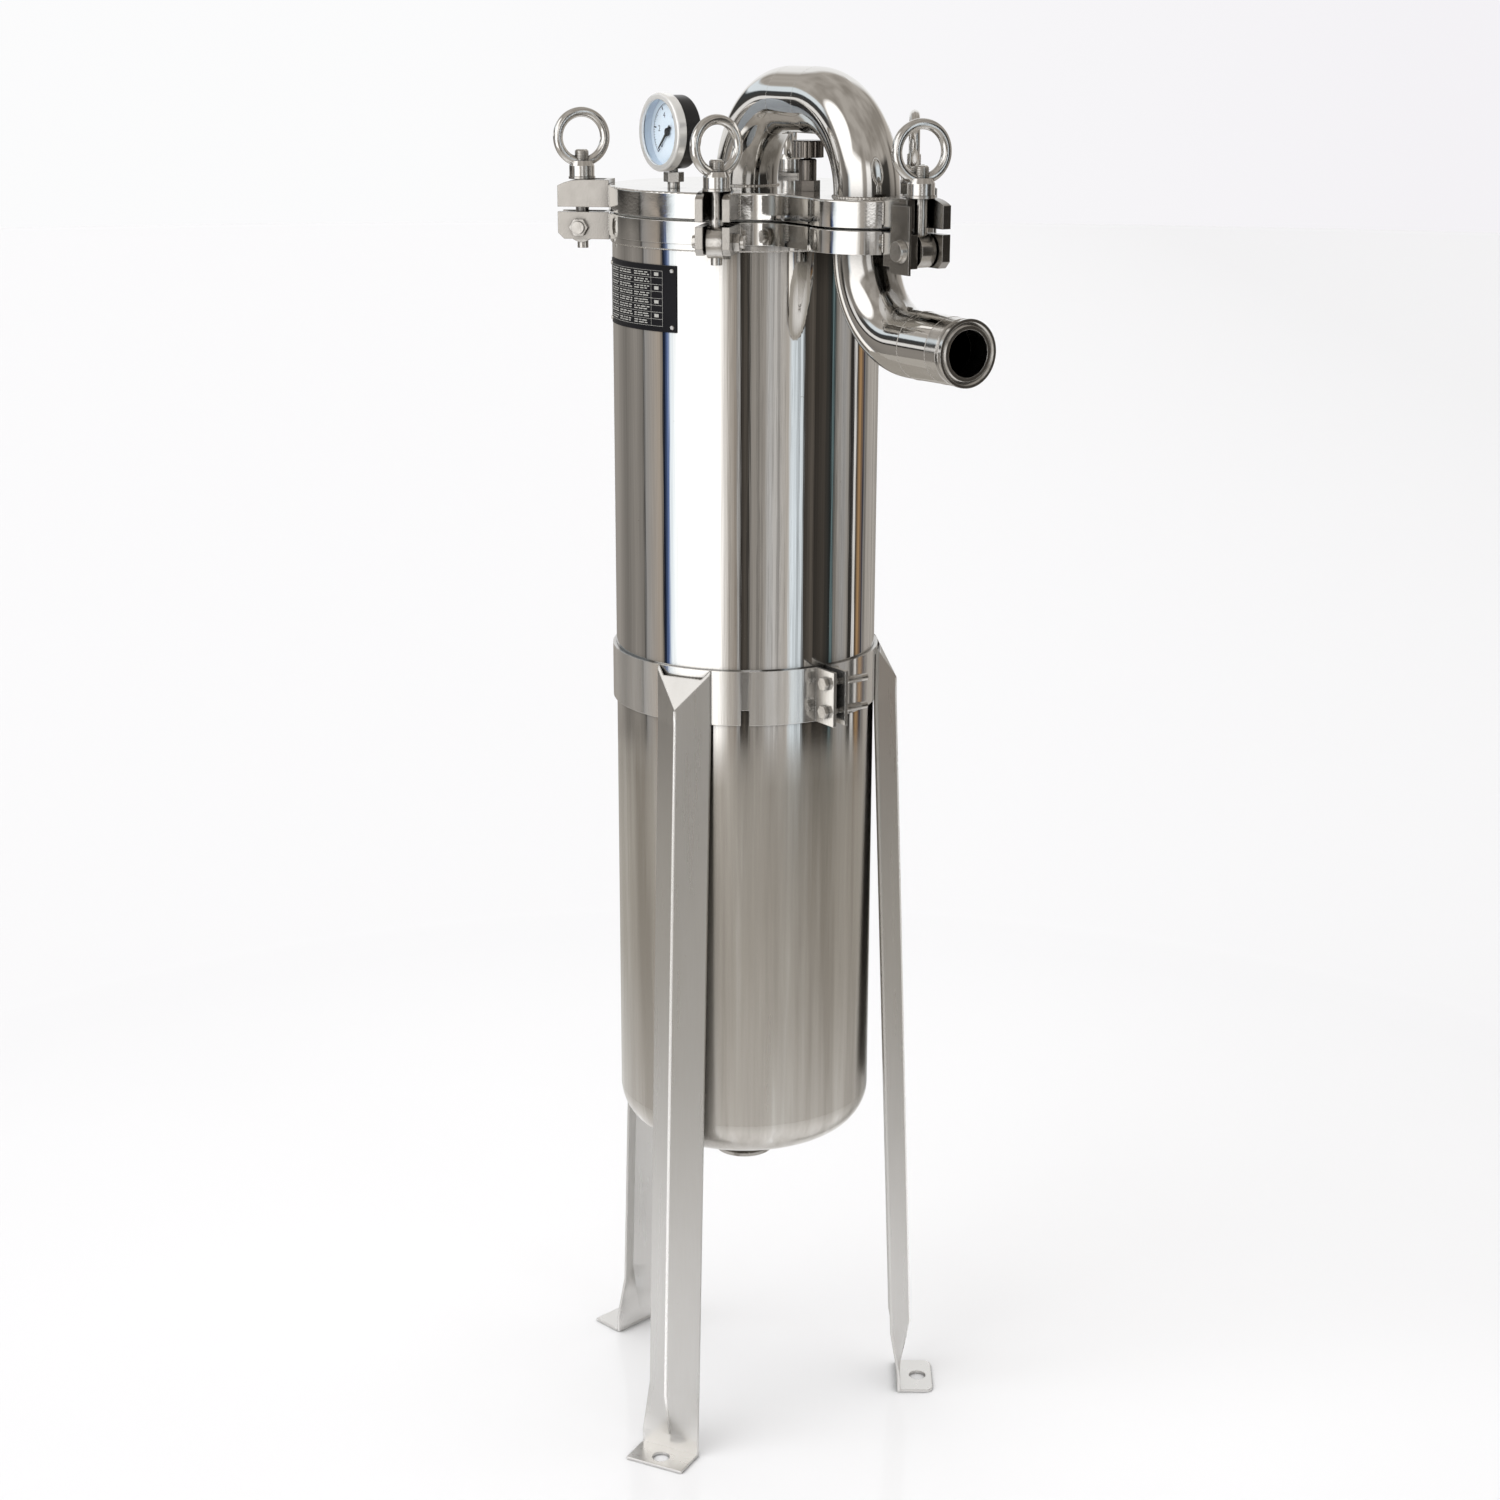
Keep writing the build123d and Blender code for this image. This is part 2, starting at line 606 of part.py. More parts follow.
lobe_closure = CLOSURES[3]
with BuildPart() as locating_plate:
    plate_side = lobe_closure.side_plane.offset(lobe_closure.width / 2 + LOCATING_PLATE_GAP)
    plate_low = LOCATING_PLATE_BOTTOM_Z - PIN_Z
    plate_high = LOCATING_PLATE_TOP_Z - PIN_Z
    with BuildSketch(plate_side):
        with Locations(((LOCATING_PLATE_OUTER - LOCATING_PLATE_INNER) / 2, (plate_low + plate_high) / 2)):
            Rectangle(LOCATING_PLATE_OUTER + LOCATING_PLATE_INNER, plate_high - plate_low)
        Circle(PIN_R + PIN_FIT, mode=Mode.SUBTRACT)
    extrude(amount=LOCATING_PLATE_THICK)
locating_plate.part.label = "locating_plate"
export_step(locating_plate.part, "parts/locating_plate.step")

with BuildPart() as closure_pins:
    for closure in CLOSURES.values():
        reach = closure.width / 2 + WELD_GAP
        head_reach = reach + (LOCATING_PLATE_GAP + LOCATING_PLATE_THICK if closure is lobe_closure else 0.0)
        with BuildSketch(closure.side_plane.offset(-reach - PIN_HEAD_H - PIN_END)):
            Circle(PIN_R)
        extrude(amount=reach + head_reach + PIN_HEAD_H + PIN_END)
        with BuildSketch(closure.side_plane.offset(head_reach)):
            Circle(closure.pin_head_r)
        extrude(amount=PIN_HEAD_H, taper=18)
closure_pins.part.label = "closure_pins"
export_step(closure_pins.part, "parts/closure_pins.step")

with BuildPart() as pin_nuts:
    for closure in CLOSURES.values():
        with BuildSketch(closure.side_plane.offset(-closure.width / 2 - WELD_GAP)):
            RegularPolygon(closure.pin_head_r, 6, major_radius=False)
            Circle(PIN_R + PIN_FIT, mode=Mode.SUBTRACT)
        extrude(amount=-PIN_HEAD_H)
pin_nuts.part.label = "pin_nuts"
export_step(pin_nuts.part, "parts/pin_nuts.step")

# ---------------------------------------------------------------- basket, bag and ring
BASKET_RIM_R = BASKET_SEAT_R - 0.5
BASKET_RIM_TOP_Z = BASKET_SEAT_Z + BASKET_RIM_THICK
with BuildPart() as strainer_basket:
    with BuildSketch(Plane.XY.offset(BASKET_BOTTOM_Z)):
        Circle(BASKET_R)
    extrude(amount=BASKET_SEAT_Z - BASKET_BOTTOM_Z)
    with BuildSketch(Plane.XY.offset(BASKET_SEAT_Z)):
        Circle(BASKET_RIM_R)
    extrude(amount=BASKET_RIM_THICK)
    with BuildSketch(Plane.XY.offset(BASKET_BOTTOM_Z + BASKET_WALL)):
        Circle(BASKET_BORE_R)
    extrude(amount=BASKET_RIM_TOP_Z - BASKET_BOTTOM_Z - BASKET_WALL, mode=Mode.SUBTRACT)
    row_pitch = (BASKET_SEAT_Z - BASKET_BOTTOM_Z) / BASKET_ROWS
    slot_turn = 360 / BASKET_COLUMNS
    for row in range(BASKET_ROWS):
        row_z = BASKET_BOTTOM_Z + (row + 0.5) * row_pitch
        for column in range(BASKET_COLUMNS // 2):
            shift = slot_turn / 2 if row % 2 else 0.0
            with BuildSketch(upright_plane(column * slot_turn + shift + 90).offset(-2 * BASKET_R)):
                with Locations((0, row_z)):
                    Rectangle(BASKET_SLOT_WIDTH, BASKET_SLOT_HEIGHT)
            extrude(amount=4 * BASKET_R, mode=Mode.SUBTRACT)
    with BuildSketch(Plane.XY.offset(BASKET_BOTTOM_Z)):
        with PolarLocations(BASKET_R / 2, 6):
            Circle(BASKET_DRAIN_R)
    extrude(amount=BASKET_WALL, mode=Mode.SUBTRACT)
strainer_basket.part.label = "strainer_basket"
export_step(strainer_basket.part, "parts/strainer_basket.step")

BAG_RING_Z = BASKET_RIM_TOP_Z + SEAT_CLEARANCE
BAG_FLOOR_Z = BASKET_BOTTOM_Z + BASKET_WALL + SOFT_GAP
with BuildPart() as bag_ring:
    with BuildSketch(Plane.XY.offset(BAG_RING_Z)):
        Circle(BASKET_RIM_R - 0.5)
        Circle(BAG_R - BAG_WALL, mode=Mode.SUBTRACT)
    extrude(amount=BAG_RING_THICK)
bag_ring.part.label = "bag_ring"
export_step(bag_ring.part, "parts/bag_ring.step")

with BuildPart() as filter_bag:
    with BuildSketch(Plane.XY.offset(BAG_FLOOR_Z)):
        Circle(BAG_R)
    extrude(amount=BAG_RING_Z - BAG_FLOOR_Z)
    fillet(filter_bag.faces().sort_by(Axis.Z)[0].edges(), BAG_BOTTOM_ROUND)
    offset(amount=-BAG_WALL, openings=filter_bag.faces().sort_by(Axis.Z)[-1])
filter_bag.part.label = "filter_bag"
export_step(filter_bag.part, "parts/filter_bag.step")

# ---------------------------------------------------------------- support band
EAR_START = BAND_R + BAND_THICK / 2
EAR_MIDDLE = BAND_R + EAR_LENGTH * 0.6
split_plane = radial_plane(BAND_SPLIT_AZ, 0.0, BAND_BOTTOM_Z)
with BuildPart() as support_band:
    with BuildSketch(split_plane):
        Circle(BAND_R + BAND_THICK)
        with Locations((BAND_R + EAR_LENGTH / 2, 0)):
            Rectangle(EAR_LENGTH, BAND_SPLIT + 2 * BAND_THICK)
        Circle(BAND_R, mode=Mode.SUBTRACT)
        with Locations((BAND_R + EAR_LENGTH / 2, 0)):
            Rectangle(2 * EAR_LENGTH, BAND_SPLIT, mode=Mode.SUBTRACT)
    extrude(amount=BAND_HEIGHT)
    with BuildSketch(Plane.XZ.offset(BAND_R - BAND_THICK)):
        with Locations((0, BAND_BOTTOM_Z + BAND_NOTCH_HEIGHT / 2)):
            Rectangle(BAND_NOTCH_WIDTH, BAND_NOTCH_HEIGHT)
    extrude(amount=3 * BAND_THICK, mode=Mode.SUBTRACT)
    ear_plane = upright_plane(BAND_SPLIT_AZ, EAR_MIDDLE, BAND_BOTTOM_Z + BAND_HEIGHT / 2)
    with BuildSketch(ear_plane.offset(-EAR_LENGTH)):
        with GridLocations(0, BAND_BOLT_SPACING, 1, 2):
            Circle(BAND_BOLT_R + PIN_FIT)
    extrude(amount=2 * EAR_LENGTH, mode=Mode.SUBTRACT)
support_band.part.label = "support_band"
export_step(support_band.part, "parts/support_band.step")

EAR_FACE = BAND_SPLIT / 2 + BAND_THICK + WELD_GAP
with BuildPart() as band_bolts:
    with BuildSketch(ear_plane.offset(EAR_FACE)):
        with GridLocations(0, BAND_BOLT_SPACING, 1, 2):
            RegularPolygon(BAND_BOLT_AF / 2, 6, major_radius=False)
    extrude(amount=BAND_HEAD_H)
    with BuildSketch(ear_plane.offset(EAR_FACE)):
        with GridLocations(0, BAND_BOLT_SPACING, 1, 2):
            Circle(BAND_BOLT_R)
    extrude(amount=-BAND_BOLT_LENGTH)
band_bolts.part.label = "band_bolts"
export_step(band_bolts.part, "parts/band_bolts.step")

with BuildPart() as band_nuts:
    with BuildSketch(ear_plane.offset(-EAR_FACE)):
        with GridLocations(0, BAND_BOLT_SPACING, 1, 2):
            RegularPolygon(BAND_BOLT_AF / 2, 6, major_radius=False)
            Circle(BAND_BOLT_R + PIN_FIT, mode=Mode.SUBTRACT)
    extrude(amount=-BAND_NUT_H)
band_nuts.part.label = "band_nuts"
export_step(band_nuts.part, "parts/band_nuts.step")

# ---------------------------------------------------------------- legs
LEG_TOP_X = sqrt((BAND_R + BAND_THICK) ** 2 - LEG_HALF_WIDTH**2) + 0.3
CAP_TOP_Z = BAND_TOP_Z - LEG_CAP_DROP
CAP_X = BAND_R + BAND_THICK + LEG_SHEET
LEG_RIDGE_X = LEG_TOP_X + LEG_SHEET + LEG_RIDGE
CAP_HALF_WIDTH = LEG_HALF_WIDTH * (LEG_RIDGE_X - CAP_X) / LEG_RIDGE
CAP_LENGTH = (LEG_RIDGE_X - CAP_X) / cos(radians(LEG_CAP_SLOPE))


for name, azimuth in (("leg_front", -26.5), ("leg_right", 89.0), ("leg_rear", -135.0)):
    level = radial_plane(azimuth)
    stations = (
        (BAND_TOP_Z, LEG_TOP_X, LEG_RIDGE, LEG_HALF_WIDTH),
        (BAND_BOTTOM_Z, LEG_TOP_X, LEG_RIDGE, LEG_HALF_WIDTH),
        (LEG_KNEE_Z, LEG_SPREAD_X, LEG_RIDGE, LEG_HALF_WIDTH),
        (LEG_FLAT_Z, LEG_FOOT_X, 0.4, FOOT_HALF_WIDTH),
        (0.0, LEG_FOOT_X, 0.4, FOOT_HALF_WIDTH),
    )
    with BuildPart() as leg:
        for upper, lower in zip(stations, stations[1:]):
            for side in (-1, 1):
                for height, edge_x, ridge, half_width in (upper, lower):
                    with BuildSketch(level.offset(height)):
                        with BuildLine():
                            Polyline(
                                (edge_x, side * half_width),
                                (edge_x + ridge, 0),
                                (edge_x + ridge + LEG_SHEET, 0),
                                (edge_x + LEG_SHEET, side * half_width),
                                close=True,
                            )
                        make_face()
                loft(ruled=True)
        slope = Plane(
            origin=spot(azimuth, CAP_X, CAP_TOP_Z),
            x_dir=Vector(0, 0, 1).cross(spot(azimuth, 1.0)),
            z_dir=spot(azimuth, tan(radians(LEG_CAP_SLOPE))) + Vector(0, 0, 1),
        )
        split(bisect_by=slope, keep=Keep.BOTTOM)
        with BuildSketch(slope):
            with BuildLine():
                Polyline((-CAP_HALF_WIDTH, 0), (CAP_HALF_WIDTH, 0), (0, -CAP_LENGTH), close=True)
            make_face()
        extrude(amount=-LEG_SHEET)
        with BuildSketch(level):
            with Locations((LEG_FOOT_X + FOOT_LENGTH / 2, 0)):
                Rectangle(FOOT_LENGTH, 2 * FOOT_HALF_WIDTH)
            toes = [spot(azimuth, LEG_FOOT_X + FOOT_LENGTH) + side * FOOT_HALF_WIDTH * level.y_dir
                    for side in (-1, 1)]
            drawn = BuildSketch._get_context()
            fillet([drawn.vertices().sort_by_distance(toe)[0] for toe in toes], FOOT_CORNER)
            with Locations((LEG_FOOT_X + FOOT_HOLE_OFFSET, 0)):
                Circle(FOOT_HOLE_R, mode=Mode.SUBTRACT)
        extrude(amount=LEG_SHEET)
    leg.part.label = name
    export_step(leg.part, f"parts/{name}.step")

# ---------------------------------------------------------------- pressure gauge
face_out = spot(GAUGE_FACE_AZ, 1.0)
gauge_plane = Plane(
    origin=gauge_foot + Vector(0, 0, GAUGE_Z),
    x_dir=(cos(radians(GAUGE_FACE_AZ)), sin(radians(GAUGE_FACE_AZ)), 0),
    z_dir=face_out,
)
CASE_FRONT = GAUGE_CASE_DEPTH - GAUGE_BACK
DIAL_FRONT = CASE_FRONT - 6.0
with BuildPart() as gauge_case:
    with BuildSketch(gauge_plane.offset(-GAUGE_BACK)):
        Circle(GAUGE_CASE_R)
    extrude(amount=GAUGE_CASE_DEPTH)
    fillet(gauge_case.faces().sort_by(Axis(gauge_plane.origin, face_out))[0].edges(), 2.5)
    with BuildSketch(gauge_plane.offset(-GAUGE_BACK + 2.0)):
        Circle(GAUGE_CASE_R - GAUGE_CASE_WALL)
    extrude(amount=GAUGE_CASE_DEPTH, mode=Mode.SUBTRACT)
    with BuildSketch(Plane(origin=gauge_foot + Vector(0, 0, GAUGE_Z))):
        Circle(GAUGE_NECK_R + PIN_FIT)
    extrude(amount=-2 * GAUGE_CASE_R, mode=Mode.SUBTRACT)
gauge_case.part.label = "gauge_case"
export_step(gauge_case.part, "parts/gauge_case.step")

HEX_BOTTOM_Z = LID_TOP_Z + GAUGE_HEX_BOTTOM
HEX_TOP_Z = HEX_BOTTOM_Z + GAUGE_HEX_H
with BuildPart() as gauge_connector:
    with BuildSketch(Plane(origin=gauge_foot + Vector(0, 0, LID_TOP_Z))):
        Circle(GAUGE_STEM_R)
        Circle(PORT_R - 1.0, mode=Mode.SUBTRACT)
    extrude(amount=HEX_TOP_Z - LID_TOP_Z)
    with BuildSketch(Plane(origin=gauge_foot + Vector(0, 0, HEX_TOP_Z))):
        Circle(GAUGE_NECK_R)
        Circle(PORT_R - 1.0, mode=Mode.SUBTRACT)
    extrude(amount=GAUGE_Z - GAUGE_CASE_R + 1.0 - HEX_TOP_Z)
    with BuildSketch(Plane(origin=gauge_foot + Vector(0, 0, HEX_BOTTOM_Z))):
        RegularPolygon(GAUGE_HEX_AF / 2, 6, major_radius=False)
        Circle(GAUGE_STEM_R, mode=Mode.SUBTRACT)
    extrude(amount=HEX_TOP_Z - HEX_BOTTOM_Z)
gauge_connector.part.label = "gauge_connector"
export_step(gauge_connector.part, "parts/gauge_connector.step")

with BuildPart() as gauge_dial:
    with BuildSketch(gauge_plane.offset(DIAL_FRONT - GAUGE_DIAL_THICK)):
        Circle(GAUGE_CASE_R - GAUGE_CASE_WALL - PIN_FIT)
    extrude(amount=GAUGE_DIAL_THICK)
gauge_dial.part.label = "gauge_dial"
export_step(gauge_dial.part, "parts/gauge_dial.step")

with BuildPart() as gauge_pointer:
    tip_turn = 180 - GAUGE_ZERO_ANGLE
    with BuildSketch(gauge_plane.offset(DIAL_FRONT + 1.2)):
        with BuildLine(mode=Mode.ADD):
            Polyline((-1.6, -6), (1.6, -6), (1.1, 0), (0.3, GAUGE_POINTER_LENGTH), (-0.3, GAUGE_POINTER_LENGTH),
                     (-1.1, 0), close=True)
        make_face()
        Circle(3.2)
    extrude(amount=0.8)
    with BuildSketch(gauge_plane.offset(DIAL_FRONT + SEAT_CLEARANCE)):
        Circle(1.2)
    extrude(amount=1.2)
pointer_axis = Axis(gauge_plane.origin, face_out)
gauge_pointer.part = gauge_pointer.part.rotate(pointer_axis, -GAUGE_ZERO_ANGLE)
gauge_pointer.part.label = "gauge_pointer"
export_step(gauge_pointer.part, "parts/gauge_pointer.step")

with BuildPart() as gauge_glass:
    with BuildSketch(gauge_plane.offset(CASE_FRONT + SEAT_CLEARANCE)):
        Circle(GAUGE_CASE_R - 0.5)
    extrude(amount=1.8)
gauge_glass.part.label = "gauge_glass"
export_step(gauge_glass.part, "parts/gauge_glass.step")

with BuildPart() as gauge_bezel:
    with BuildSketch(gauge_plane.offset(CASE_FRONT + 4.0 - GAUGE_BEZEL_DEPTH)):
        Circle(GAUGE_BEZEL_R)
    extrude(amount=GAUGE_BEZEL_DEPTH)
    front_edge = gauge_bezel.faces().sort_by(Axis(gauge_plane.origin, face_out))[-1].edges()
    fillet(front_edge, 1.8)
    with BuildSketch(gauge_plane.offset(CASE_FRONT + 4.0 - GAUGE_BEZEL_DEPTH)):
        Circle(GAUGE_CASE_R + PIN_FIT)
    extrude(amount=GAUGE_BEZEL_DEPTH - 2.1, mode=Mode.SUBTRACT)
    with BuildSketch(gauge_plane.offset(CASE_FRONT)):
        Circle(GAUGE_BEZEL_R - GAUGE_BEZEL_LIP - 2.0)
    extrude(amount=GAUGE_BEZEL_DEPTH, mode=Mode.SUBTRACT)
gauge_bezel.part.label = "gauge_bezel"
export_step(gauge_bezel.part, "parts/gauge_bezel.step")

# ---------------------------------------------------------------- vent valve
VENT_BODY_TOP_Z = VENT_TOP_Z - VENT_KNOB_H - 1.0
with BuildPart() as vent_body:
    with BuildSketch(Plane(origin=vent_foot + Vector(0, 0, LID_TOP_Z))):
        RegularPolygon(VENT_HEX_AF / 2, 6, major_radius=False)
    extrude(amount=8.0)
    with BuildSketch(Plane(origin=vent_foot + Vector(0, 0, LID_TOP_Z + 8.0))):
        Circle(VENT_BODY_R)
    extrude(amount=VENT_BODY_TOP_Z - LID_TOP_Z - 8.0)
    chamfer(vent_body.faces().sort_by(Axis.Z)[-1].edges(), 1.0)
    with BuildSketch(Plane(origin=vent_foot + Vector(0, 0, LID_TOP_Z))):
        Circle(VENT_SPINDLE_R + RUNNING_FIT)
    extrude(amount=VENT_BODY_TOP_Z - LID_TOP_Z, mode=Mode.SUBTRACT)
vent_body.part.label = "vent_body"
export_step(vent_body.part, "parts/vent_body.step")

with BuildPart() as vent_knob:
    with BuildSketch(Plane(origin=vent_foot + Vector(0, 0, VENT_TOP_Z - VENT_KNOB_H))):
        Circle(VENT_KNOB_R)
    extrude(amount=VENT_KNOB_H)
    chamfer(vent_knob.faces().sort_by(Axis.Z)[-1].edges(), 1.2)
    with BuildSketch(Plane(origin=vent_foot + Vector(0, 0, VENT_TOP_Z - VENT_KNOB_H))):
        with PolarLocations(VENT_KNOB_R + 0.7, VENT_FLUTES):
            Circle(1.5)
    extrude(amount=VENT_KNOB_H, mode=Mode.SUBTRACT)
    with BuildSketch(Plane(origin=vent_foot + Vector(0, 0, LID_TOP_Z + 4.0))):
        Circle(VENT_SPINDLE_R)
    extrude(amount=VENT_TOP_Z - VENT_KNOB_H - LID_TOP_Z - 4.0)
vent_knob.part.label = "vent_knob"
export_step(vent_knob.part, "parts/vent_knob.step")

# ---------------------------------------------------------------- name plate
PLATE_R = SHELL_R + WELD_GAP
plate_view = Plane(origin=spot(PLATE_AZ, 0.0, PLATE_Z), x_dir=upright_plane(PLATE_AZ + 90).x_dir,
                   z_dir=spot(PLATE_AZ, 1.0))
PLATE_TURN = degrees(PLATE_WIDTH / PLATE_R)
with BuildPart() as name_plate:
    with BuildSketch(upright_plane(PLATE_AZ - PLATE_TURN / 2)):
        with Locations((PLATE_R + PLATE_THICK / 2, PLATE_Z)):
            Rectangle(PLATE_THICK, PLATE_HEIGHT)
    revolve(axis=Axis.Z, revolution_arc=PLATE_TURN)
name_plate.part.label = "name_plate"
export_step(name_plate.part, "parts/name_plate.step")

with BuildPart() as plate_rivets:
    rivet_turn = degrees((PLATE_WIDTH / 2 - RIVET_INSET) / PLATE_R)
    for side in (-1, 1):
        for rise in (-1, 1):
            head = spot(PLATE_AZ + side * rivet_turn, PLATE_R + PLATE_THICK + WELD_GAP,
                        PLATE_Z + rise * (PLATE_HEIGHT / 2 - RIVET_INSET))
            with BuildSketch(Plane(origin=head, z_dir=spot(PLATE_AZ + side * rivet_turn, 1.0))):
                Circle(RIVET_R)
            extrude(amount=1.0, taper=30)
plate_rivets.part.label = "plate_rivets"
export_step(plate_rivets.part, "parts/plate_rivets.step")
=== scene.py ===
"""Looks for the bag filter housing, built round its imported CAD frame. Metres, +Z up."""
import math
import random

import bmesh
import bpy
from mathutils import Matrix, Vector


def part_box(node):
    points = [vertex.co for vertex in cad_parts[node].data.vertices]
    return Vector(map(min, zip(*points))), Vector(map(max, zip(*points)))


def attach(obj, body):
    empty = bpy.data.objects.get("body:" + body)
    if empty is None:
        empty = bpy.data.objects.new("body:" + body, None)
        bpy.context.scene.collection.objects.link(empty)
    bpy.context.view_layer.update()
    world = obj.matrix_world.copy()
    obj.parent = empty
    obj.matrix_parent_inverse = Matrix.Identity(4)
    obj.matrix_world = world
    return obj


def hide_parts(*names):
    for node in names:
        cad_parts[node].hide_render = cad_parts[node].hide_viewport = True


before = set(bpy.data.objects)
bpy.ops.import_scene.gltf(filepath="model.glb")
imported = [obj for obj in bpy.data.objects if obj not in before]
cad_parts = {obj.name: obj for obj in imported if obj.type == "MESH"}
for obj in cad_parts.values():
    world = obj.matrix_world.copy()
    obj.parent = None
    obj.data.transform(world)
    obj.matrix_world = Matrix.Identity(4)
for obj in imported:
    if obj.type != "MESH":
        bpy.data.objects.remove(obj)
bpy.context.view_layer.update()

# ---------------------------------------------------------------- camera
CAMERA_PLACE = (0.0, -2.1273, 1.2115)
CAMERA_PITCH = math.radians(15.953)
CAMERA_YAW = math.radians(0.113)
CAMERA_ROLL = math.radians(-0.182)
CAMERA_FOCAL_PX = 2563.9
PHOTO_PX = 1500
SENSOR_MM = 36.0

camera_data = bpy.data.cameras.new("camera")
camera_data.sensor_fit = "HORIZONTAL"
camera_data.sensor_width = SENSOR_MM
camera_data.lens = CAMERA_FOCAL_PX * SENSOR_MM / PHOTO_PX
camera = bpy.data.objects.new("camera", camera_data)
bpy.context.scene.collection.objects.link(camera)
turn = Matrix.Rotation(-CAMERA_YAW, 4, "Z") @ Matrix.Rotation(math.pi / 2 - CAMERA_PITCH, 4, "X")
camera.matrix_world = Matrix.Translation(CAMERA_PLACE) @ turn @ Matrix.Rotation(-CAMERA_ROLL, 4, "Z")
bpy.context.scene.camera = camera


# ---------------------------------------------------------------- places on the part, in mm
MM = 0.001
UP = (0.0, 0.0, 1.0)
LOW, HIGH = 0, 1


def side_of(node_name, end, axis="z"):
    """Where a node's box ends on an axis, to a micrometre, at its LOW or its HIGH end."""
    return round(getattr(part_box(node_name)[end], axis) / MM, 3)


def middle_of(node_name):
    """The height halfway up a node's box."""
    return (side_of(node_name, LOW) + side_of(node_name, HIGH)) / 2


def spot(azimuth, radius, height=0.0):
    """A point at a bearing and distance from the vessel's axis, measured from the front."""
    turn = math.radians(azimuth)
    return Vector((radius * math.sin(turn), -radius * math.cos(turn), height))


def along(azimuth):
    """The level direction at a bearing."""
    return spot(azimuth, 1.0)


def climb(height):
    """A step straight up."""
    return Vector((0.0, 0.0, height))


PIPE_R = 25.4
SHELL_R = side_of("shell_tube", HIGH, "x")
SHELL_TOP = side_of("shell_tube", HIGH)
FLANGE_BOTTOM = side_of("inlet_elbow", HIGH)
LID_TOP = side_of("lid_plate", HIGH)
LOBE_AZ = 32.0
LOBE_OFFSET = 172.0
# By number, each closure's bearing and the width of its lugs.
CLOSURES = {1: (-98.0, 27.0), 2: (-9.7, 27.0), 3: (LOBE_AZ, 29.0), 4: (80.0, 27.0), 5: (164.0, 27.0)}
LEG_AZIMUTHS = (-26.5, 89.0, -135.0)
GAUGE_FACE_AZ = -57.0
GAUGE_CENTRE = spot(-49.0, 76.5, middle_of("gauge_dial"))
DIAL_FRONT = 4.3
FACE_OUT = along(GAUGE_FACE_AZ)
FACE_RIGHT = along(GAUGE_FACE_AZ + 90)
FACE_UP = Vector(UP)


# ---------------------------------------------------------------- node helpers
class Nodes:
    """A small builder for a node tree."""

    def __init__(self, tree):
        self.tree = tree

    def add(self, kind, **settings):
        node = self.tree.nodes.new(kind)
        for key, value in settings.items():
            setattr(node, key, value)
        return node

    def join(self, source, target):
        self.tree.links.new(source, target)

    def feed(self, socket, value):
        """Gives a socket a number, a colour or another node's output."""
        if isinstance(value, (int, float)):
            socket.default_value = value
        elif isinstance(value, tuple):
            socket.default_value = (*value, 1.0)
        else:
            self.join(value, socket)

    def noise(self, vector, scale, detail=3.0, rough=0.5, distortion=0.0):
        node = self.add("ShaderNodeTexNoise")
        node.inputs["Scale"].default_value = scale
        node.inputs["Detail"].default_value = detail
        node.inputs["Roughness"].default_value = rough
        node.inputs["Distortion"].default_value = distortion
        self.join(vector, node.inputs["Vector"])
        return node.outputs["Fac"]

    def ramp(self, source, stops):
        """Colours by (position, colour) stops along a value from 0 to 1."""
        node = self.add("ShaderNodeValToRGB")
        while len(node.color_ramp.elements) < len(stops):
            node.color_ramp.elements.new(0.5)
        for element, (position, colour) in zip(node.color_ramp.elements, stops):
            element.position = position
            element.color = (*colour, 1.0)
        self.join(source, node.inputs["Fac"])
        return node.outputs["Color"]

    def remap(self, source, low, high, to_low=0.0, to_high=1.0):
        """A value moved from one range to another, and held at its ends."""
        node = self.add("ShaderNodeMapRange")
        for key, value in (("From Min", low), ("From Max", high), ("To Min", to_low), ("To Max", to_high)):
            node.inputs[key].default_value = value
        self.join(source, node.inputs["Value"])
        return node.outputs["Result"]

    def math(self, operation, *values):
        node = self.add("ShaderNodeMath", operation=operation)
        for socket, value in zip(node.inputs, values):
            self.feed(socket, value)
        return node.outputs["Value"]

    def vector_math(self, operation, source, other=None):
        """A vector set against a fixed one, or measured."""
        node = self.add("ShaderNodeVectorMath", operation=operation)
        self.join(source, node.inputs[0])
        if other is not None:
            node.inputs[1].default_value = other
        return node.outputs["Value" if operation in ("LENGTH", "DOT_PRODUCT") else "Vector"]

    def split(self, vector):
        """A vector's three axes, by name."""
        node = self.add("ShaderNodeSeparateXYZ")
        self.join(vector, node.inputs["Vector"])
        return node.outputs

    def mix(self, factor, a, b):
        """One colour turning into another as the factor goes from 0 to 1."""
        node = self.add("ShaderNodeMix", data_type="RGBA")
        for socket, value in zip((node.inputs["Factor"], node.inputs[6], node.inputs[7]), (factor, a, b)):
            self.feed(socket, value)
        return node.outputs[2]

    def mix_value(self, factor, a, b):
        """One number turning into another as the factor goes from 0 to 1."""
        node = self.add("ShaderNodeMix", data_type="FLOAT")
        for socket, value in zip((node.inputs["Factor"], node.inputs[2], node.inputs[3]), (factor, a, b)):
            self.feed(socket, value)
        return node.outputs[0]


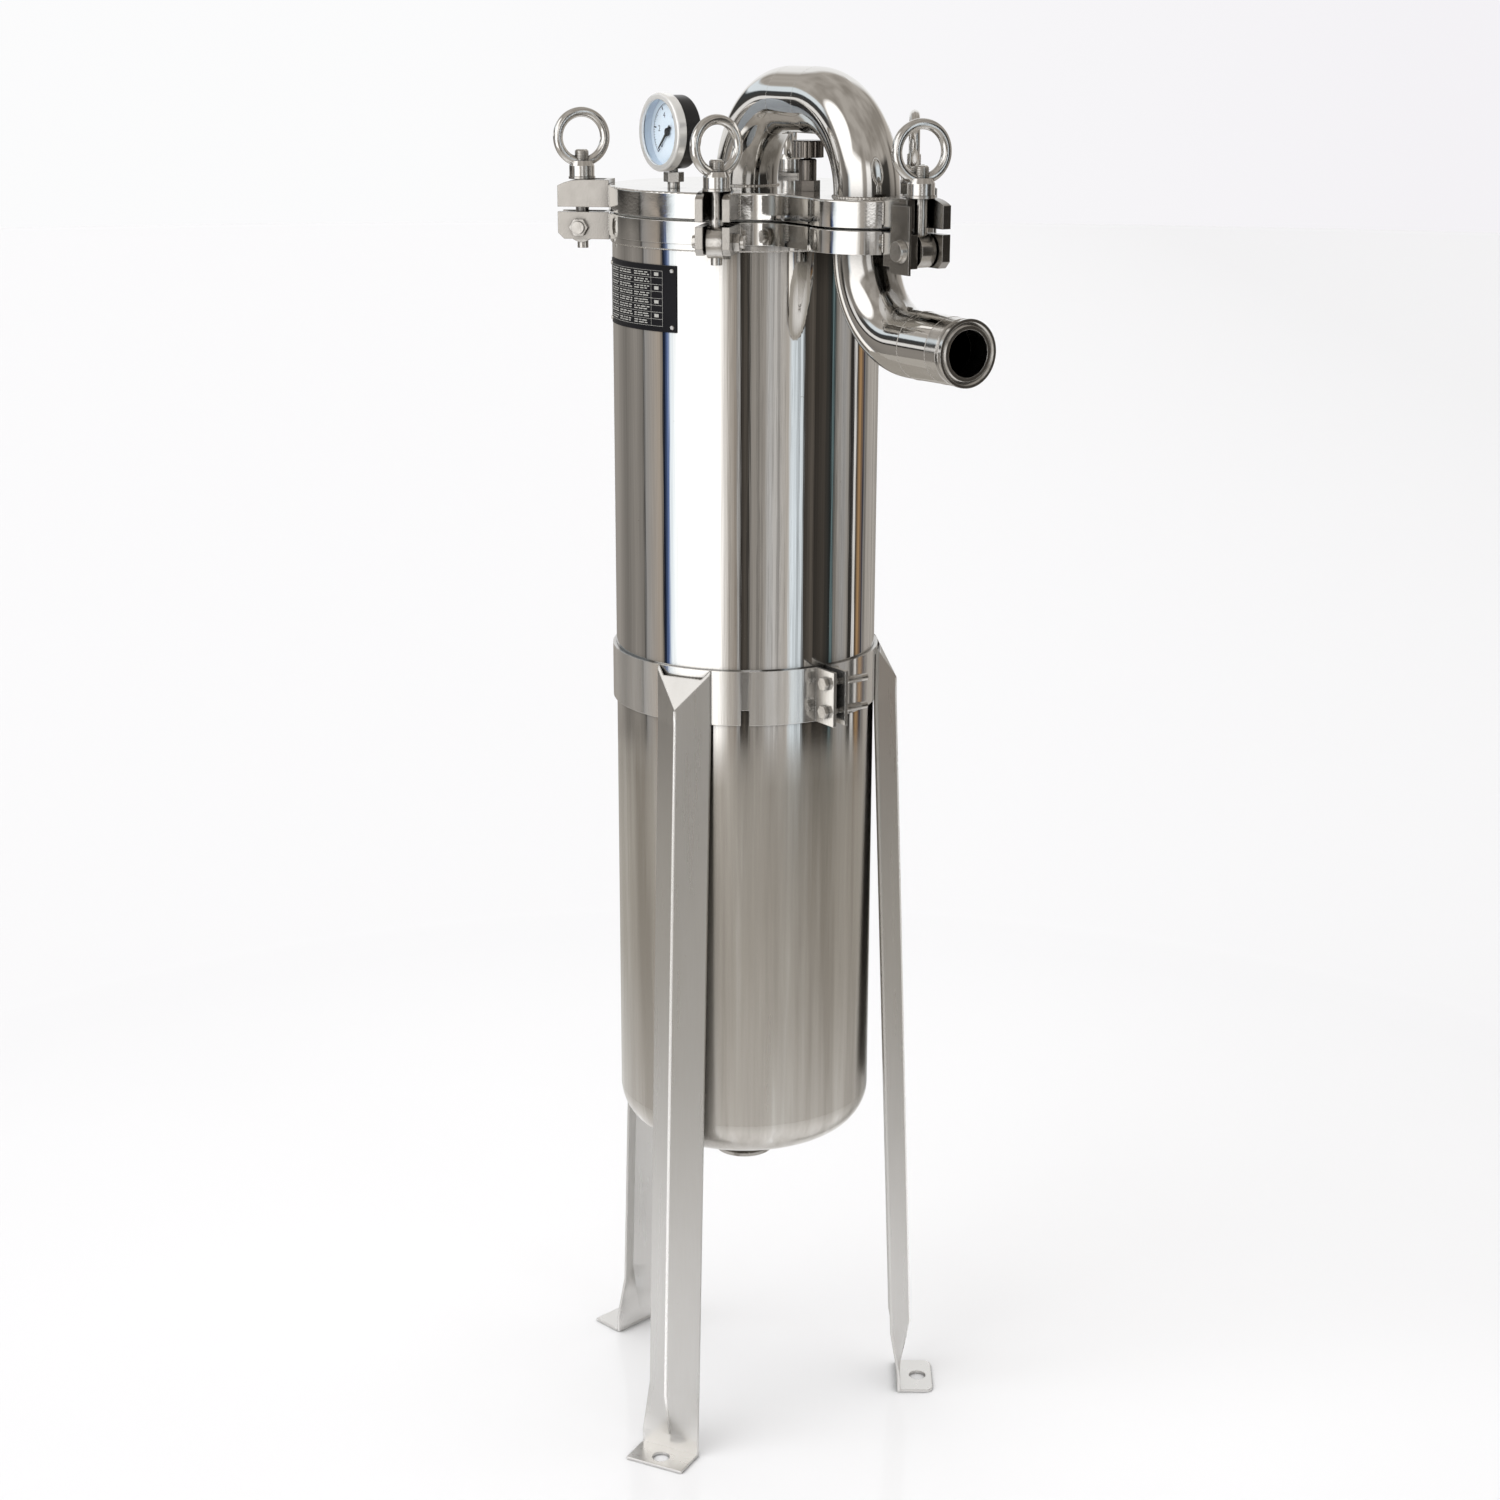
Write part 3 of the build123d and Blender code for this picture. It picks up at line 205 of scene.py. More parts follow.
class MaterialNodes(Nodes):
    """A new material's node tree, with its main shader and the place on the piece in metres."""

    def __init__(self, name):
        self.material = bpy.data.materials.new(name)
        self.material.use_nodes = True
        super().__init__(self.material.node_tree)
        self.shader = self.tree.nodes["Principled BSDF"]
        self.place = self.add("ShaderNodeTexCoord").outputs["Object"]

    def stretched(self, share):
        """The place with its height scaled to a share, which draws a noise out into upright streaks."""
        node = self.add("ShaderNodeMapping")
        node.inputs["Scale"].default_value = (1.0, 1.0, share)
        self.join(self.place, node.inputs["Vector"])
        return node.outputs["Vector"]

    def bump(self, height, strength, distance, edge=0.0, wave=None):
        """Fine relief, over slow waves of (scale, depth), over edges eased by a small radius."""
        normal = None
        if edge:
            eased = self.add("ShaderNodeBevel", samples=4)
            eased.inputs["Radius"].default_value = edge
            normal = eased.outputs["Normal"]
        layers = [(height, strength, distance)]
        if wave:
            scale, depth = wave
            slow = self.noise(self.place, scale, detail=1.5, rough=0.5, distortion=0.3)
            layers.insert(0, (slow, 1.0, depth))
        for layer, share, depth in layers:
            node = self.add("ShaderNodeBump")
            node.inputs["Strength"].default_value = share
            node.inputs["Distance"].default_value = depth
            self.join(layer, node.inputs["Height"])
            if normal:
                self.join(normal, node.inputs["Normal"])
            normal = node.outputs["Normal"]
        self.join(normal, self.shader.inputs["Normal"])

    def shaded(self, tint, reach, deepest=0.12):
        """Tint darkened with painted shade in the crevices that are narrower than a reach in metres."""
        hollow = self.add("ShaderNodeAmbientOcclusion", samples=6)
        hollow.inputs["Distance"].default_value = reach
        share = self.remap(hollow.outputs["AO"], 0.25, 0.85, deepest, 1.0)
        return self.mix(share, BLACK, tint)

    def colour(self, source):
        self.join(source, self.shader.inputs["Base Color"])

    def roughness(self, source):
        self.join(source, self.shader.inputs["Roughness"])

    def set(self, **values):
        for key, value in values.items():
            self.shader.inputs[key.replace("_", " ")].default_value = value


# ---------------------------------------------------------------- materials
BLACK = (0.0, 0.0, 0.0)
BRIGHT = (0.82, 0.81, 0.79)
POLISH = (0.80, 0.785, 0.76)
CAST = (0.52, 0.50, 0.47)
# What is left of a steel's colour where it is stained.
STAINED = (0.80, 0.77, 0.73)
# Heights in metres: a leg takes on a painted highlight on the way down to its foot, and the shell turns from
# mirror to mill finish.
FOOT_HIGHLIGHT_FADE = (0.03, 0.005)
MIRROR_FADE = (0.66, 0.60)
# Where the gauge's case turns to a painted reflection of the dial, in metres from the dial's axis.
DIAL_REFLECTION_FADE = (0.0276, 0.0272)
FINE_RELIEF = 0.0006
PEEL_RELIEF = 0.0004


def times(colour, shares):
    """A colour with each channel scaled by its own share."""
    return tuple(c * share for c, share in zip(colour, shares))


def scaled(colour, share):
    """A colour made darker by one share."""
    return times(colour, (share, share, share))


def steel(name, colour, rough, streak=1.0, scale=60.0, bump=0.02, stain=0.06, edge=0.0005, wave=None,
          crevice_shade=0.0, dulled=0.0, metallic=1.0, foot_highlight=None):
    """Stainless steel with clouds in its colour, smears in its gloss and fine scratches.

    Rough is the range of the gloss. Streak draws smears and scratches out upwards, and dulled is how
    far the scratches lose their colour. Stain is how much darker the clouds are. Edge is the radius in
    metres that sharp edges are eased by, and the crevice reach is how far in metres gaps get painted
    shade. A painted highlight colour takes over towards the floor, for the bright feet."""
    n = MaterialNodes(name)
    cloud = n.noise(n.stretched(0.35), 9.0, detail=4.0, rough=0.55, distortion=0.4)
    smear = n.noise(n.stretched(streak), scale, detail=5.0, rough=0.6)
    fine = n.noise(n.stretched(streak), scale * 9.0, detail=2.0)
    speck = n.noise(n.place, 260.0, detail=2.0, rough=0.7)
    tint = n.ramp(cloud, [(0.32, scaled(colour, 1.0 - stain)), (0.68, colour)])
    dull = times(colour, STAINED)
    tint = n.mix(n.remap(speck, 0.72, 0.80, 0.0, 0.35), tint, dull)
    if dulled:
        tint = n.mix(n.remap(fine, 0.35, 0.65, dulled, 0.0), tint, dull)
    # A painted highlight towards the floor, for the bright feet.
    if foot_highlight:
        tint = n.mix(n.remap(n.split(n.place)["Z"], *FOOT_HIGHLIGHT_FADE), tint, foot_highlight)
    # Painted shade in the gaps, out to the crevice reach.
    if crevice_shade:
        tint = n.shaded(tint, crevice_shade)
    n.colour(tint)
    n.roughness(n.remap(smear, 0.3, 0.7, *rough))
    n.set(Metallic=metallic)
    n.bump(n.math("ADD", fine, n.math("MULTIPLY", speck, 0.4)), bump, FINE_RELIEF, edge, wave)
    return n.material


def shell_steel():
    """The shell's rolled sheet: near mirror above the band; duller below it, with darker brownish streaks and
    blotches, and painted shade where other parts stand close.
    """
    n = MaterialNodes("shell_steel")
    cloud = n.noise(n.stretched(0.18), 14.0, detail=5.0, rough=0.6, distortion=0.6)
    runs = n.noise(n.stretched(0.03), 46.0, detail=4.0, rough=0.6)
    fine = n.noise(n.stretched(0.02), 520.0, detail=2.0)
    speck = n.noise(n.place, 190.0, detail=2.0, rough=0.75)
    lower = n.remap(n.split(n.place)["Z"], *MIRROR_FADE)
    upper_tint = n.ramp(cloud, [(0.35, (0.80, 0.79, 0.77)), (0.65, (0.86, 0.85, 0.835))])
    lower_tint = n.ramp(runs, [
        (0.36, (0.46, 0.435, 0.395)), (0.48, (0.60, 0.575, 0.535)), (0.58, (0.68, 0.66, 0.62)),
        (0.64, (0.80, 0.79, 0.765)),
    ])
    blotch = n.noise(n.stretched(0.5), 7.0, distortion=0.4)
    lower_tint = n.mix(n.remap(blotch, 0.35, 0.65, 0.22, 0.0), lower_tint, (0.42, 0.38, 0.33))
    tint = n.mix(lower, upper_tint, lower_tint)
    tint = n.mix(n.remap(fine, 0.38, 0.66, 0.22, 0.0), tint, CAST)
    # Painted shade in the gaps, darkest in the strip beside each leg.
    tint = n.shaded(tint, 0.045, deepest=0.05)
    n.colour(n.mix(n.remap(speck, 0.735, 0.80, 0.0, 0.5), tint, (0.42, 0.37, 0.32)))
    upper_rough = n.remap(runs, 0.3, 0.7, 0.02, 0.05)
    lower_rough = n.remap(cloud, 0.3, 0.7, 0.20, 0.28)
    n.roughness(n.mix_value(lower, upper_rough, lower_rough))
    n.set(Metallic=1.0)
    n.bump(n.math("ADD", fine, n.math("MULTIPLY", runs, 1.5)), 0.04, FINE_RELIEF)
    return n.material


def painted(n, colours, rough, wear, wear_at):
    """Drifting colour between two tones, with worn specks and an orange peel; gives the worn colour."""
    drift = n.noise(n.place, 30.0)
    speck = n.noise(n.place, 420.0, detail=2.0, rough=0.7)
    base = n.ramp(drift, [(0.3, colours[0]), (0.7, colours[1])])
    n.roughness(n.remap(drift, 0.3, 0.7, *rough))
    n.bump(speck, 0.06, PEEL_RELIEF)
    return n.mix(n.remap(speck, wear_at, wear_at + 0.05, 0.0, 0.6), base, wear)


def paint(name, colour, rough, wear=(0.30, 0.29, 0.28), wear_at=0.78, gloss=0.5):
    """Paint or a moulded finish."""
    n = MaterialNodes(name)
    n.colour(painted(n, (scaled(colour, 0.88), colour), (rough * 0.85, rough * 1.15), wear, wear_at))
    n.set(Specular_IOR_Level=gloss)
    return n.material


def gauge_black():
    """The gauge's case: black outside, and pale blue on the wall round the dial as a painted reflection of
    the dial.
    """
    n = MaterialNodes("case_black")
    blacks = (0.010, 0.010, 0.011), (0.014, 0.014, 0.015)
    outside = painted(n, blacks, (0.24, 0.32), wear=(0.10, 0.10, 0.10), wear_at=0.80)
    from_centre = n.vector_math("SUBTRACT", n.place, GAUGE_CENTRE * MM)
    from_axis = n.vector_math("LENGTH", n.vector_math("CROSS_PRODUCT", from_centre, FACE_OUT))
    # The pale blue round the dial is a painted reflection of the dial.
    n.colour(n.mix(n.remap(from_axis, *DIAL_REFLECTION_FADE), outside, (0.62, 0.70, 0.80)))
    return n.material


def felt():
    """Needle felt of the filter bag."""
    n = MaterialNodes("bag_felt")
    fibre = n.noise(n.stretched(1.0), 900.0, detail=4.0, rough=0.7, distortion=0.8)
    cloud = n.noise(n.place, 12.0, detail=4.0)
    base = n.ramp(cloud, [(0.3, (0.80, 0.79, 0.74)), (0.7, (0.90, 0.89, 0.86))])
    n.colour(n.mix(fibre, base, (0.95, 0.95, 0.92)))
    n.set(Roughness=0.95, Sheen_Weight=0.4)
    n.bump(fibre, 0.35, 0.0008)
    return n.material


def glass():
    """The gauge's window, smudged and hardly bending the light."""
    n = MaterialNodes("gauge_window")
    smudge = n.noise(n.place, 60.0)
    n.roughness(n.remap(smudge, 0.35, 0.75, 0.02, 0.09))
    n.colour(n.ramp(smudge, [(0.3, (0.93, 0.97, 1.0)), (0.7, (0.97, 0.99, 1.0))]))
    n.set(Transmission_Weight=1.0, IOR=1.05)
    return n.material


# Each crevice reach below darkens that steel's gaps with painted shade.
MATERIALS = {
    "shell": shell_steel(),
    "band": steel("band_steel", BRIGHT, (0.07, 0.14), streak=0.05, scale=70.0, bump=0.03, crevice_shade=0.012,
                  dulled=0.3, metallic=0.9),
    "leg": steel("leg_steel", (0.66, 0.65, 0.63), (0.26, 0.32), streak=0.04, scale=90.0, bump=0.006,
                 stain=0.07, edge=0.0012, dulled=0.08, foot_highlight=BRIGHT),
    # The legs' bends: a near-white steel that paints their highlight.
    "ridge": steel("ridge_highlight_steel", (0.95, 0.945, 0.93), (0.22, 0.30), streak=0.1, scale=90.0, bump=0.01,
                   stain=0.03, edge=0.0, metallic=0.6),
    "flange": steel("flange_steel", (0.80, 0.79, 0.77), (0.04, 0.09), streak=0.08, scale=80.0, bump=0.03,
                    wave=(20.0, 0.0003), crevice_shade=0.010),
    "lid": steel("lid_steel", BRIGHT, (0.04, 0.10), bump=0.03, wave=(26.0, 0.0005), crevice_shade=0.014),
    "pipe": steel("pipe_steel", POLISH, (0.03, 0.08), scale=40.0, bump=0.015, crevice_shade=0.045),
    "ferrule": steel("ferrule_steel", (0.76, 0.745, 0.72), (0.12, 0.20), scale=120.0, bump=0.04,
                     crevice_shade=0.006),
    "cast": steel("cast_steel", CAST, (0.12, 0.22), scale=110.0, bump=0.05, stain=0.28, edge=0.0009,
                  wave=(45.0, 0.00015), crevice_shade=0.016),
    "vent": steel("vent_steel", (0.30, 0.275, 0.25), (0.16, 0.26), scale=120.0, bump=0.04, crevice_shade=0.04),
    # A darker copy of the ferrule steel, which paints the shade under the head.
    "outlet": steel("outlet_shaded_steel", (0.44, 0.42, 0.39), (0.18, 0.28), scale=120.0, bump=0.04, crevice_shade=0.02),
    "eye": steel("eye_steel", POLISH, (0.08, 0.18), scale=110.0, bump=0.07, stain=0.10, crevice_shade=0.004),
    "bolt": steel("bolt_steel", (0.66, 0.64, 0.61), (0.14, 0.26), scale=130.0, bump=0.05, stain=0.12,
                  wave=(120.0, 0.0003), crevice_shade=0.008),
    "bezel": steel("bezel_steel", (0.93, 0.93, 0.92), (0.10, 0.18), scale=150.0, bump=0.03, metallic=0.5),
    "weld": steel("weld_steel", (0.66, 0.635, 0.60), (0.18, 0.34), scale=300.0, bump=0.25, stain=0.16),
    "basket": steel("basket_steel", (0.62, 0.61, 0.59), (0.25, 0.40), streak=0.3, scale=100.0, bump=0.05),
    "seal": paint("seal_rubber", (0.80, 0.79, 0.75), 0.55),
    "bag": felt(),
    "thread": paint("bag_thread", (0.86, 0.85, 0.80), 0.8, wear=(0.6, 0.58, 0.54)),
    "bag_ring": paint("bag_ring_plastic", (0.85, 0.85, 0.82), 0.4, wear=(0.7, 0.7, 0.66)),
    "black": gauge_black(),
    "plate": paint("plate_black", (0.010, 0.010, 0.012), 0.40, wear=(0.10, 0.10, 0.10), wear_at=0.84,
                   gloss=0.12),
    "needle": paint("needle_black", (0.01, 0.01, 0.01), 0.35, wear=(0.05, 0.05, 0.05)),
    "dial": paint("dial_white", (0.86, 0.93, 1.0), 0.45, wear=(0.66, 0.76, 0.86), wear_at=0.84),
    "ink": paint("dial_ink", (0.03, 0.04, 0.08), 0.5, wear=(0.06, 0.07, 0.11)),
    "rule": paint("plate_rule", (0.46, 0.46, 0.44), 0.4, wear=(0.3, 0.3, 0.3), gloss=0.2),
    "window": glass(),
}

LOOKS = {
    "shell_tube": "shell", "bottom_head": "shell", "support_band": "band",
    "leg_front": "leg", "leg_right": "leg", "leg_rear": "leg",
    "body_flange": "flange", "lid_plate": "lid",
    "crossover_elbow_centre": "pipe", "crossover_elbow_lobe": "pipe", "crossover_bridge": "pipe",
    "inlet_elbow": "pipe", "inlet_reducer": "pipe", "inlet_ferrule": "ferrule", "outlet_ferrule": "outlet",
    "lid_seal": "seal", "port_seal": "seal", "strainer_basket": "basket", "filter_bag": "bag",
    "bag_ring": "bag_ring", "band_bolts": "bolt", "band_nuts": "bolt", "closure_pins": "bolt",
    "pin_nuts": "bolt", "plate_rivets": "bolt", "locating_plate": "cast",
    "gauge_case": "black", "gauge_connector": "ferrule", "gauge_dial": "dial", "gauge_pointer": "needle",
    "gauge_glass": "window", "gauge_bezel": "bezel", "vent_body": "vent", "vent_knob": "vent",
    "name_plate": "plate",
}
BY_PREFIX = {"lid_lug": "cast", "body_lug": "cast", "swing_bolt": "bolt", "washer": "bolt", "eye_nut": "eye"}


def dress(obj, look):
    """Gives an object one of the materials in place of what it has."""
    obj.data.materials.clear()
    obj.data.materials.append(MATERIALS[look])


for node_name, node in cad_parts.items():
    look = LOOKS.get(node_name) or BY_PREFIX[node_name.rsplit("_", 1)[0]]
    for slot in node.material_slots:
        slot.material = MATERIALS[look]


# ---------------------------------------------------------------- mesh helpers
# A weld's drops: the steps in each, the bead radii from one to the next, the fewest round a pipe.
DROP_STEPS = 4
DROP_PITCH = 2.2
MIN_DROPS = 24
BEAD_SIDES = 8


def mesh_piece(name, body, points, faces, look, smooth=True):
    """A named mesh in mm that rides on a body."""
    mesh = bpy.data.meshes.new(name)
    mesh.from_pydata([Vector(point) * MM for point in points], [], faces)
    shape = bmesh.new()
    shape.from_mesh(mesh)
    bmesh.ops.recalc_face_normals(shape, faces=shape.faces)
    shape.to_mesh(mesh)
    shape.free()
    if smooth:
        mesh.shade_smooth()
    piece = bpy.data.objects.new(name, mesh)
    bpy.context.scene.collection.objects.link(piece)
    dress(piece, look)
    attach(piece, body)
    return piece


def axes_of(axis):
    """A direction made a unit long, with two directions square to it."""
    axis = Vector(axis).normalized()
    side = axis.orthogonal().normalized()
    return axis, side, axis.cross(side)


def around(side, other, turn):
    """The direction at a turn in radians between two square ones."""
    return math.cos(turn) * side + math.sin(turn) * other


def add_tube(points, faces, line, radii, sides, closed):
    """Adds a tube along a line of (point, side, up) frames to a mesh in the making."""
    first = len(points)
    for (centre, side, up), radius in zip(line, radii):
        for step in range(sides):
            points.append(centre + radius * around(side, up, 2 * math.pi * step / sides))
    count = len(line)
    for ring in range(count if closed else count - 1):
        for step in range(sides):
            low, high = first + ring * sides, first + (ring + 1) % count * sides
            ahead = (step + 1) % sides
            faces.append((low + step, low + ahead, high + ahead, high + step))
    if not closed:
        faces.append([first + step for step in reversed(range(sides))])
        faces.append([first + (count - 1) * sides + step for step in range(sides)])


def ripple(count, radius, seed, swell=0.16, scatter=0.05):
    """Bead radii that swell with each drop of a weld."""
    draw = random.Random(seed)
    return [
        radius * (1.0 + swell * math.cos(2 * math.pi * step / DROP_STEPS) + scatter * draw.uniform(-1, 1))
        for step in range(count)
    ]


def weld_rings(name, body, rings):
    """Welds round pipes: each ring is (centre, axis, radius, bead radius)."""
    points, faces = [], []
    for number, (centre, axis, radius, bead) in enumerate(rings):
        axis, side, other = axes_of(axis)
        count = DROP_STEPS * max(MIN_DROPS, round(2 * math.pi * radius / (DROP_PITCH * bead)))
        line = []
        for step in range(count):
            out = around(side, other, 2 * math.pi * step / count)
            line.append((Vector(centre) + radius * out, out, axis))
        add_tube(points, faces, line, ripple(count, bead, number), BEAD_SIDES, True)
    return mesh_piece(name, body, points, faces, "weld")


def weld_runs(name, body, runs, bead):
    """Straight weld beads: each run is (start, end)."""
    points, faces = [], []
    for number, (start, end) in enumerate(runs):
        side, other = axes_of(end - start)[1:]
        count = max(5, round((end - start).length / (DROP_PITCH / DROP_STEPS * bead)) | 1)
        radii = ripple(count, bead, 100 + number)
        radii[0] = radii[-1] = 0.35 * bead
        line = [(start.lerp(end, step / (count - 1)), side, other) for step in range(count)]
        add_tube(points, faces, line, radii, BEAD_SIDES, False)
    return mesh_piece(name, body, points, faces, "weld")


# ---------------------------------------------------------------- welds
PIPE_BEAD = 1.3
FINE_BEAD = 0.45
COLLAR_BEAD = 0.9
OUTLET_BEAD = 1.4
# The inlet's height, and how far from the vessel's axis its elbow and its reducer end.
INLET_Z = 976.8
ELBOW_END, REDUCER_END = 250.0, 284.0
REDUCER_END_R = 24.6
# Where the outlet's neck meets the bottom head.
OUTLET_Z, OUTLET_R = 252.6, 19.4
LOBE_OUT = along(LOBE_AZ)

weld_rings("weld_lid_pipes", "lid", [
    (climb(LID_TOP), UP, PIPE_R, PIPE_BEAD),
    (spot(LOBE_AZ, LOBE_OFFSET, LID_TOP), UP, PIPE_R, PIPE_BEAD),
])
weld_rings("weld_inlet", "vessel", [
    (spot(LOBE_AZ, LOBE_OFFSET, FLANGE_BOTTOM), UP, PIPE_R, PIPE_BEAD),
    (spot(LOBE_AZ, ELBOW_END, INLET_Z), LOBE_OUT, PIPE_R - 0.15, FINE_BEAD),
    (spot(LOBE_AZ, REDUCER_END, INLET_Z), LOBE_OUT, REDUCER_END_R, FINE_BEAD),
])
weld_rings("weld_vessel", "vessel", [
    (climb(SHELL_TOP - 0.2), UP, SHELL_R, COLLAR_BEAD),
    (climb(OUTLET_Z), UP, OUTLET_R, OUTLET_BEAD),
])


def leg_welds():
    """Upright beads where each leg's flanges meet the band."""
    reach, half_width = 112.6, 20.4
    low, high = 657.0, 692.0
    runs = []
    for azimuth in LEG_AZIMUTHS:
        for side in (-1, 1):
            place = reach * along(azimuth) + side * half_width * along(azimuth + 90)
            runs.append((place + climb(low), place + climb(high)))
    return weld_runs("weld_legs", "vessel", runs, PIPE_BEAD)


def leg_ridges():
    """The rounded bend down the outside of each leg, in a near-white steel that paints the highlight along
    it.
    """
    # Reach from the axis and height of the bend, from inside the band down to the foot.
    bend = ((129.3, 668.6), (129.3, 655.8), (153.0, 58.0), (144.8, 16.5))
    radius, proud = 1.3, 0.35
    points, faces = [], []
    for azimuth in LEG_AZIMUTHS:
        out, side = along(azimuth), along(azimuth + 90)
        line = [((reach - radius + proud) * out + climb(height), side, out) for reach, height in bend]
        add_tube(points, faces, line, [radius] * len(line), 24, False)
    return mesh_piece("leg_ridges", "vessel", points, faces, "ridge")


leg_welds()
leg_ridges()

# The flange's rim, round the vessel's axis and round the lobe's.
RIM_R, LOBE_RIM_R = 112.0, 45.5
LUG_BEAD = 0.9
LUG_BEAD_BESIDE, LUG_BEAD_PROUD = 0.3, 0.1


def lug_runs(low, high):
    """Fillets where the closures' cheeks meet the flange's rim, between two heights."""
    runs = []
    for azimuth, width in CLOSURES.values():
        centre, rim = (spot(LOBE_AZ, LOBE_OFFSET), LOBE_RIM_R) if azimuth == LOBE_AZ else (Vector(), RIM_R)
        for side in (-1, 1):
            half = width / 2 + LUG_BEAD_BESIDE
            out = math.sqrt(rim * rim - half * half) + LUG_BEAD_PROUD
            place = centre + out * along(azimuth) + side * half * along(azimuth + 90)
            runs.append((place + climb(low), place + climb(high)))
    return runs


weld_runs("weld_body_lugs", "vessel", lug_runs(1043.0, 1057.0), LUG_BEAD)
weld_runs("weld_lid_lugs", "lid", lug_runs(1063.5, 1080.0), LUG_BEAD)


# ---------------------------------------------------------------- threads
THREAD_STEPS = 20
THREAD_DEPTH = 0.34
ROOT_SINK = 0.12
# Half a ridge's root as a share of the pitch, and its crest as a share of the root.
ROOT_HALF, CREST_SHARE = 0.42, 0.12


def threads(name, body, rods):
    """A standing thread on round rods: each is (base, axis, radius, length, pitch)."""
    points, faces = [], []
    for base, axis, radius, length, pitch in rods:
        axis, side, other = axes_of(axis)
        count = int(length / pitch * THREAD_STEPS)
        first = len(points)
        half = ROOT_HALF * pitch
        for step in range(count + 1):
            out = around(side, other, 2 * math.pi * step / THREAD_STEPS)
            ease = min(1.0, step / THREAD_STEPS, (count - step) / THREAD_STEPS)
            middle = Vector(base) + length * step / count * axis
            root = middle + (radius - ROOT_SINK) * out
            crest = middle + (radius + THREAD_DEPTH * ease) * out
            points.append(root - half * ease * axis)
            points.append(crest - CREST_SHARE * half * axis)
            points.append(crest + CREST_SHARE * half * axis)
            points.append(root + half * ease * axis)
        for step in range(count):
            low, high = first + 4 * step, first + 4 * step + 4
            for edge in range(4):
                ahead = (edge + 1) % 4
                faces.append((low + edge, low + ahead, high + ahead, high + edge))
        faces.append([first, first + 1, first + 2, first + 3])
        faces.append([first + 4 * count + 3 - edge for edge in range(4)])
    return mesh_piece(name, body, points, faces, "bolt", smooth=False)


def swing_bolt_threads():
    """The thread that stands out of each eye nut."""
    radius, length, pitch, below_tip = 5.5, 8.2, 1.25, 9.0
    for number in CLOSURES:
        tip = (Vector(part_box(f"swing_bolt_{number}")[HIGH]) / MM).z
        washer_low, washer_high = (Vector(corner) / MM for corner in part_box(f"washer_{number}"))
        middle = (washer_low + washer_high) / 2
        base = (middle.x, middle.y, tip - below_tip)
        threads(f"bolt_thread_{number}", f"swing_bolt_{number}", [(base, UP, radius, length, pitch)])


def band_bolt_threads():
    """The ends of the band's two clamp bolts, beyond their nuts."""
    ear_azimuth, ear_reach, level, start = 34.6, 125.75, 11.9, 14.0
    radius, length, pitch = 3.0, 14.5, 1.0
    out, side = along(ear_azimuth), along(ear_azimuth + 90)
    rods = []
    for height in (-level, level):
        base = ear_reach * out + climb(middle_of("support_band") + height) + start * side
        rods.append((base, side, radius, length, pitch))
    threads("band_bolt_threads", "vessel", rods)


swing_bolt_threads()
band_bolt_threads()


# ---------------------------------------------------------------- gauge dial
SCALE_START, SCALE_SWEEP = -135, 270
SCALE_R, ARC_R = 22.2, 22.6
MINOR_TICKS = 50
# Every tenth, fifth and single tick: where it starts and its width.
TICKS = {10: (18.6, 1.2), 5: (20.0, 0.5), 1: (20.9, 0.5)}
ARC_STEPS = 90
NUMBER_R = 14.2
NUMBER_SIZE = 6.6
NUMBER_THICK = 0.02


def scale_turn(share):
    """The turn in degrees from the top, at a share of the scale."""
    return SCALE_START + SCALE_SWEEP * share


def on_dial(radius, turn, lift=0.05):
    """A point on the dial, turned clockwise in degrees from the top."""
    angle = math.radians(turn)
    flat = radius * (math.sin(angle) * FACE_RIGHT + math.cos(angle) * FACE_UP)
    return GAUGE_CENTRE + (DIAL_FRONT + lift) * FACE_OUT + flat


def dial_marks():
    """The scale's ticks and arc, printed on the dial."""
    points, faces = [], []

    def mark(inner, outer, turn, width):
        first = len(points)
        across = math.degrees(width / 2 / outer)
        for radius, shift in ((inner, -across * outer / inner), (outer, -across), (outer, across),
                              (inner, across * outer / inner)):
            points.append(on_dial(radius, turn + shift))
        faces.append((first, first + 1, first + 2, first + 3))

    for tick in range(MINOR_TICKS + 1):
        inner, width = next(size for every, size in TICKS.items() if tick % every == 0)
        mark(inner, SCALE_R, scale_turn(tick / MINOR_TICKS), width)
    arc_width = 2 * math.pi * ARC_R * SCALE_SWEEP / 360 / ARC_STEPS
    for step in range(ARC_STEPS):
        mark(SCALE_R, ARC_R, scale_turn((step + 0.5) / ARC_STEPS), arc_width)
    return mesh_piece("dial_marks", "lid", points, faces, "ink", smooth=False)


def dial_numbers():
    """The even numbers from 0 to 10, upright round the scale."""
    facing = Matrix((FACE_RIGHT, FACE_UP, FACE_OUT)).transposed().to_4x4()
    for count in range(6):
        text = bpy.data.curves.new(f"dial_number_{count}", "FONT")
        text.body = str(2 * count)
        text.size = NUMBER_SIZE * MM
        text.align_x, text.align_y = "CENTER", "CENTER"
        text.extrude = NUMBER_THICK * MM
        number = bpy.data.objects.new(f"dial_number_{count}", text)
        bpy.context.scene.collection.objects.link(number)
        place = on_dial(NUMBER_R, scale_turn(count / 5), 0.04) * MM
        number.matrix_world = Matrix.Translation(place) @ facing
        dress(number, "ink")
        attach(number, "lid")


dial_marks()
dial_numbers()


# ---------------------------------------------------------------- name plate's ruled table
PLATE_AZ = -56.0
PLATE_FACE_R = SHELL_R + 0.05 + 0.8
ROWS = 8
ROW_PITCH = 5.4
TABLE_TOP = middle_of("name_plate") + 21.5
TABLE_LEFT, TABLE_RIGHT = -47.0, 37.0
LAST_COLUMN = 25.0
TEXT_COLUMNS = ((-45.0, -24.0), (-21.0, 1.0), (4.0, 23.0))
MARK_COLUMN = (28.5, 33.0)
RULE_HALF, DASH_HALF, MARK_HALF = 0.12, 0.42, 1.3
LINE_APART = 0.9


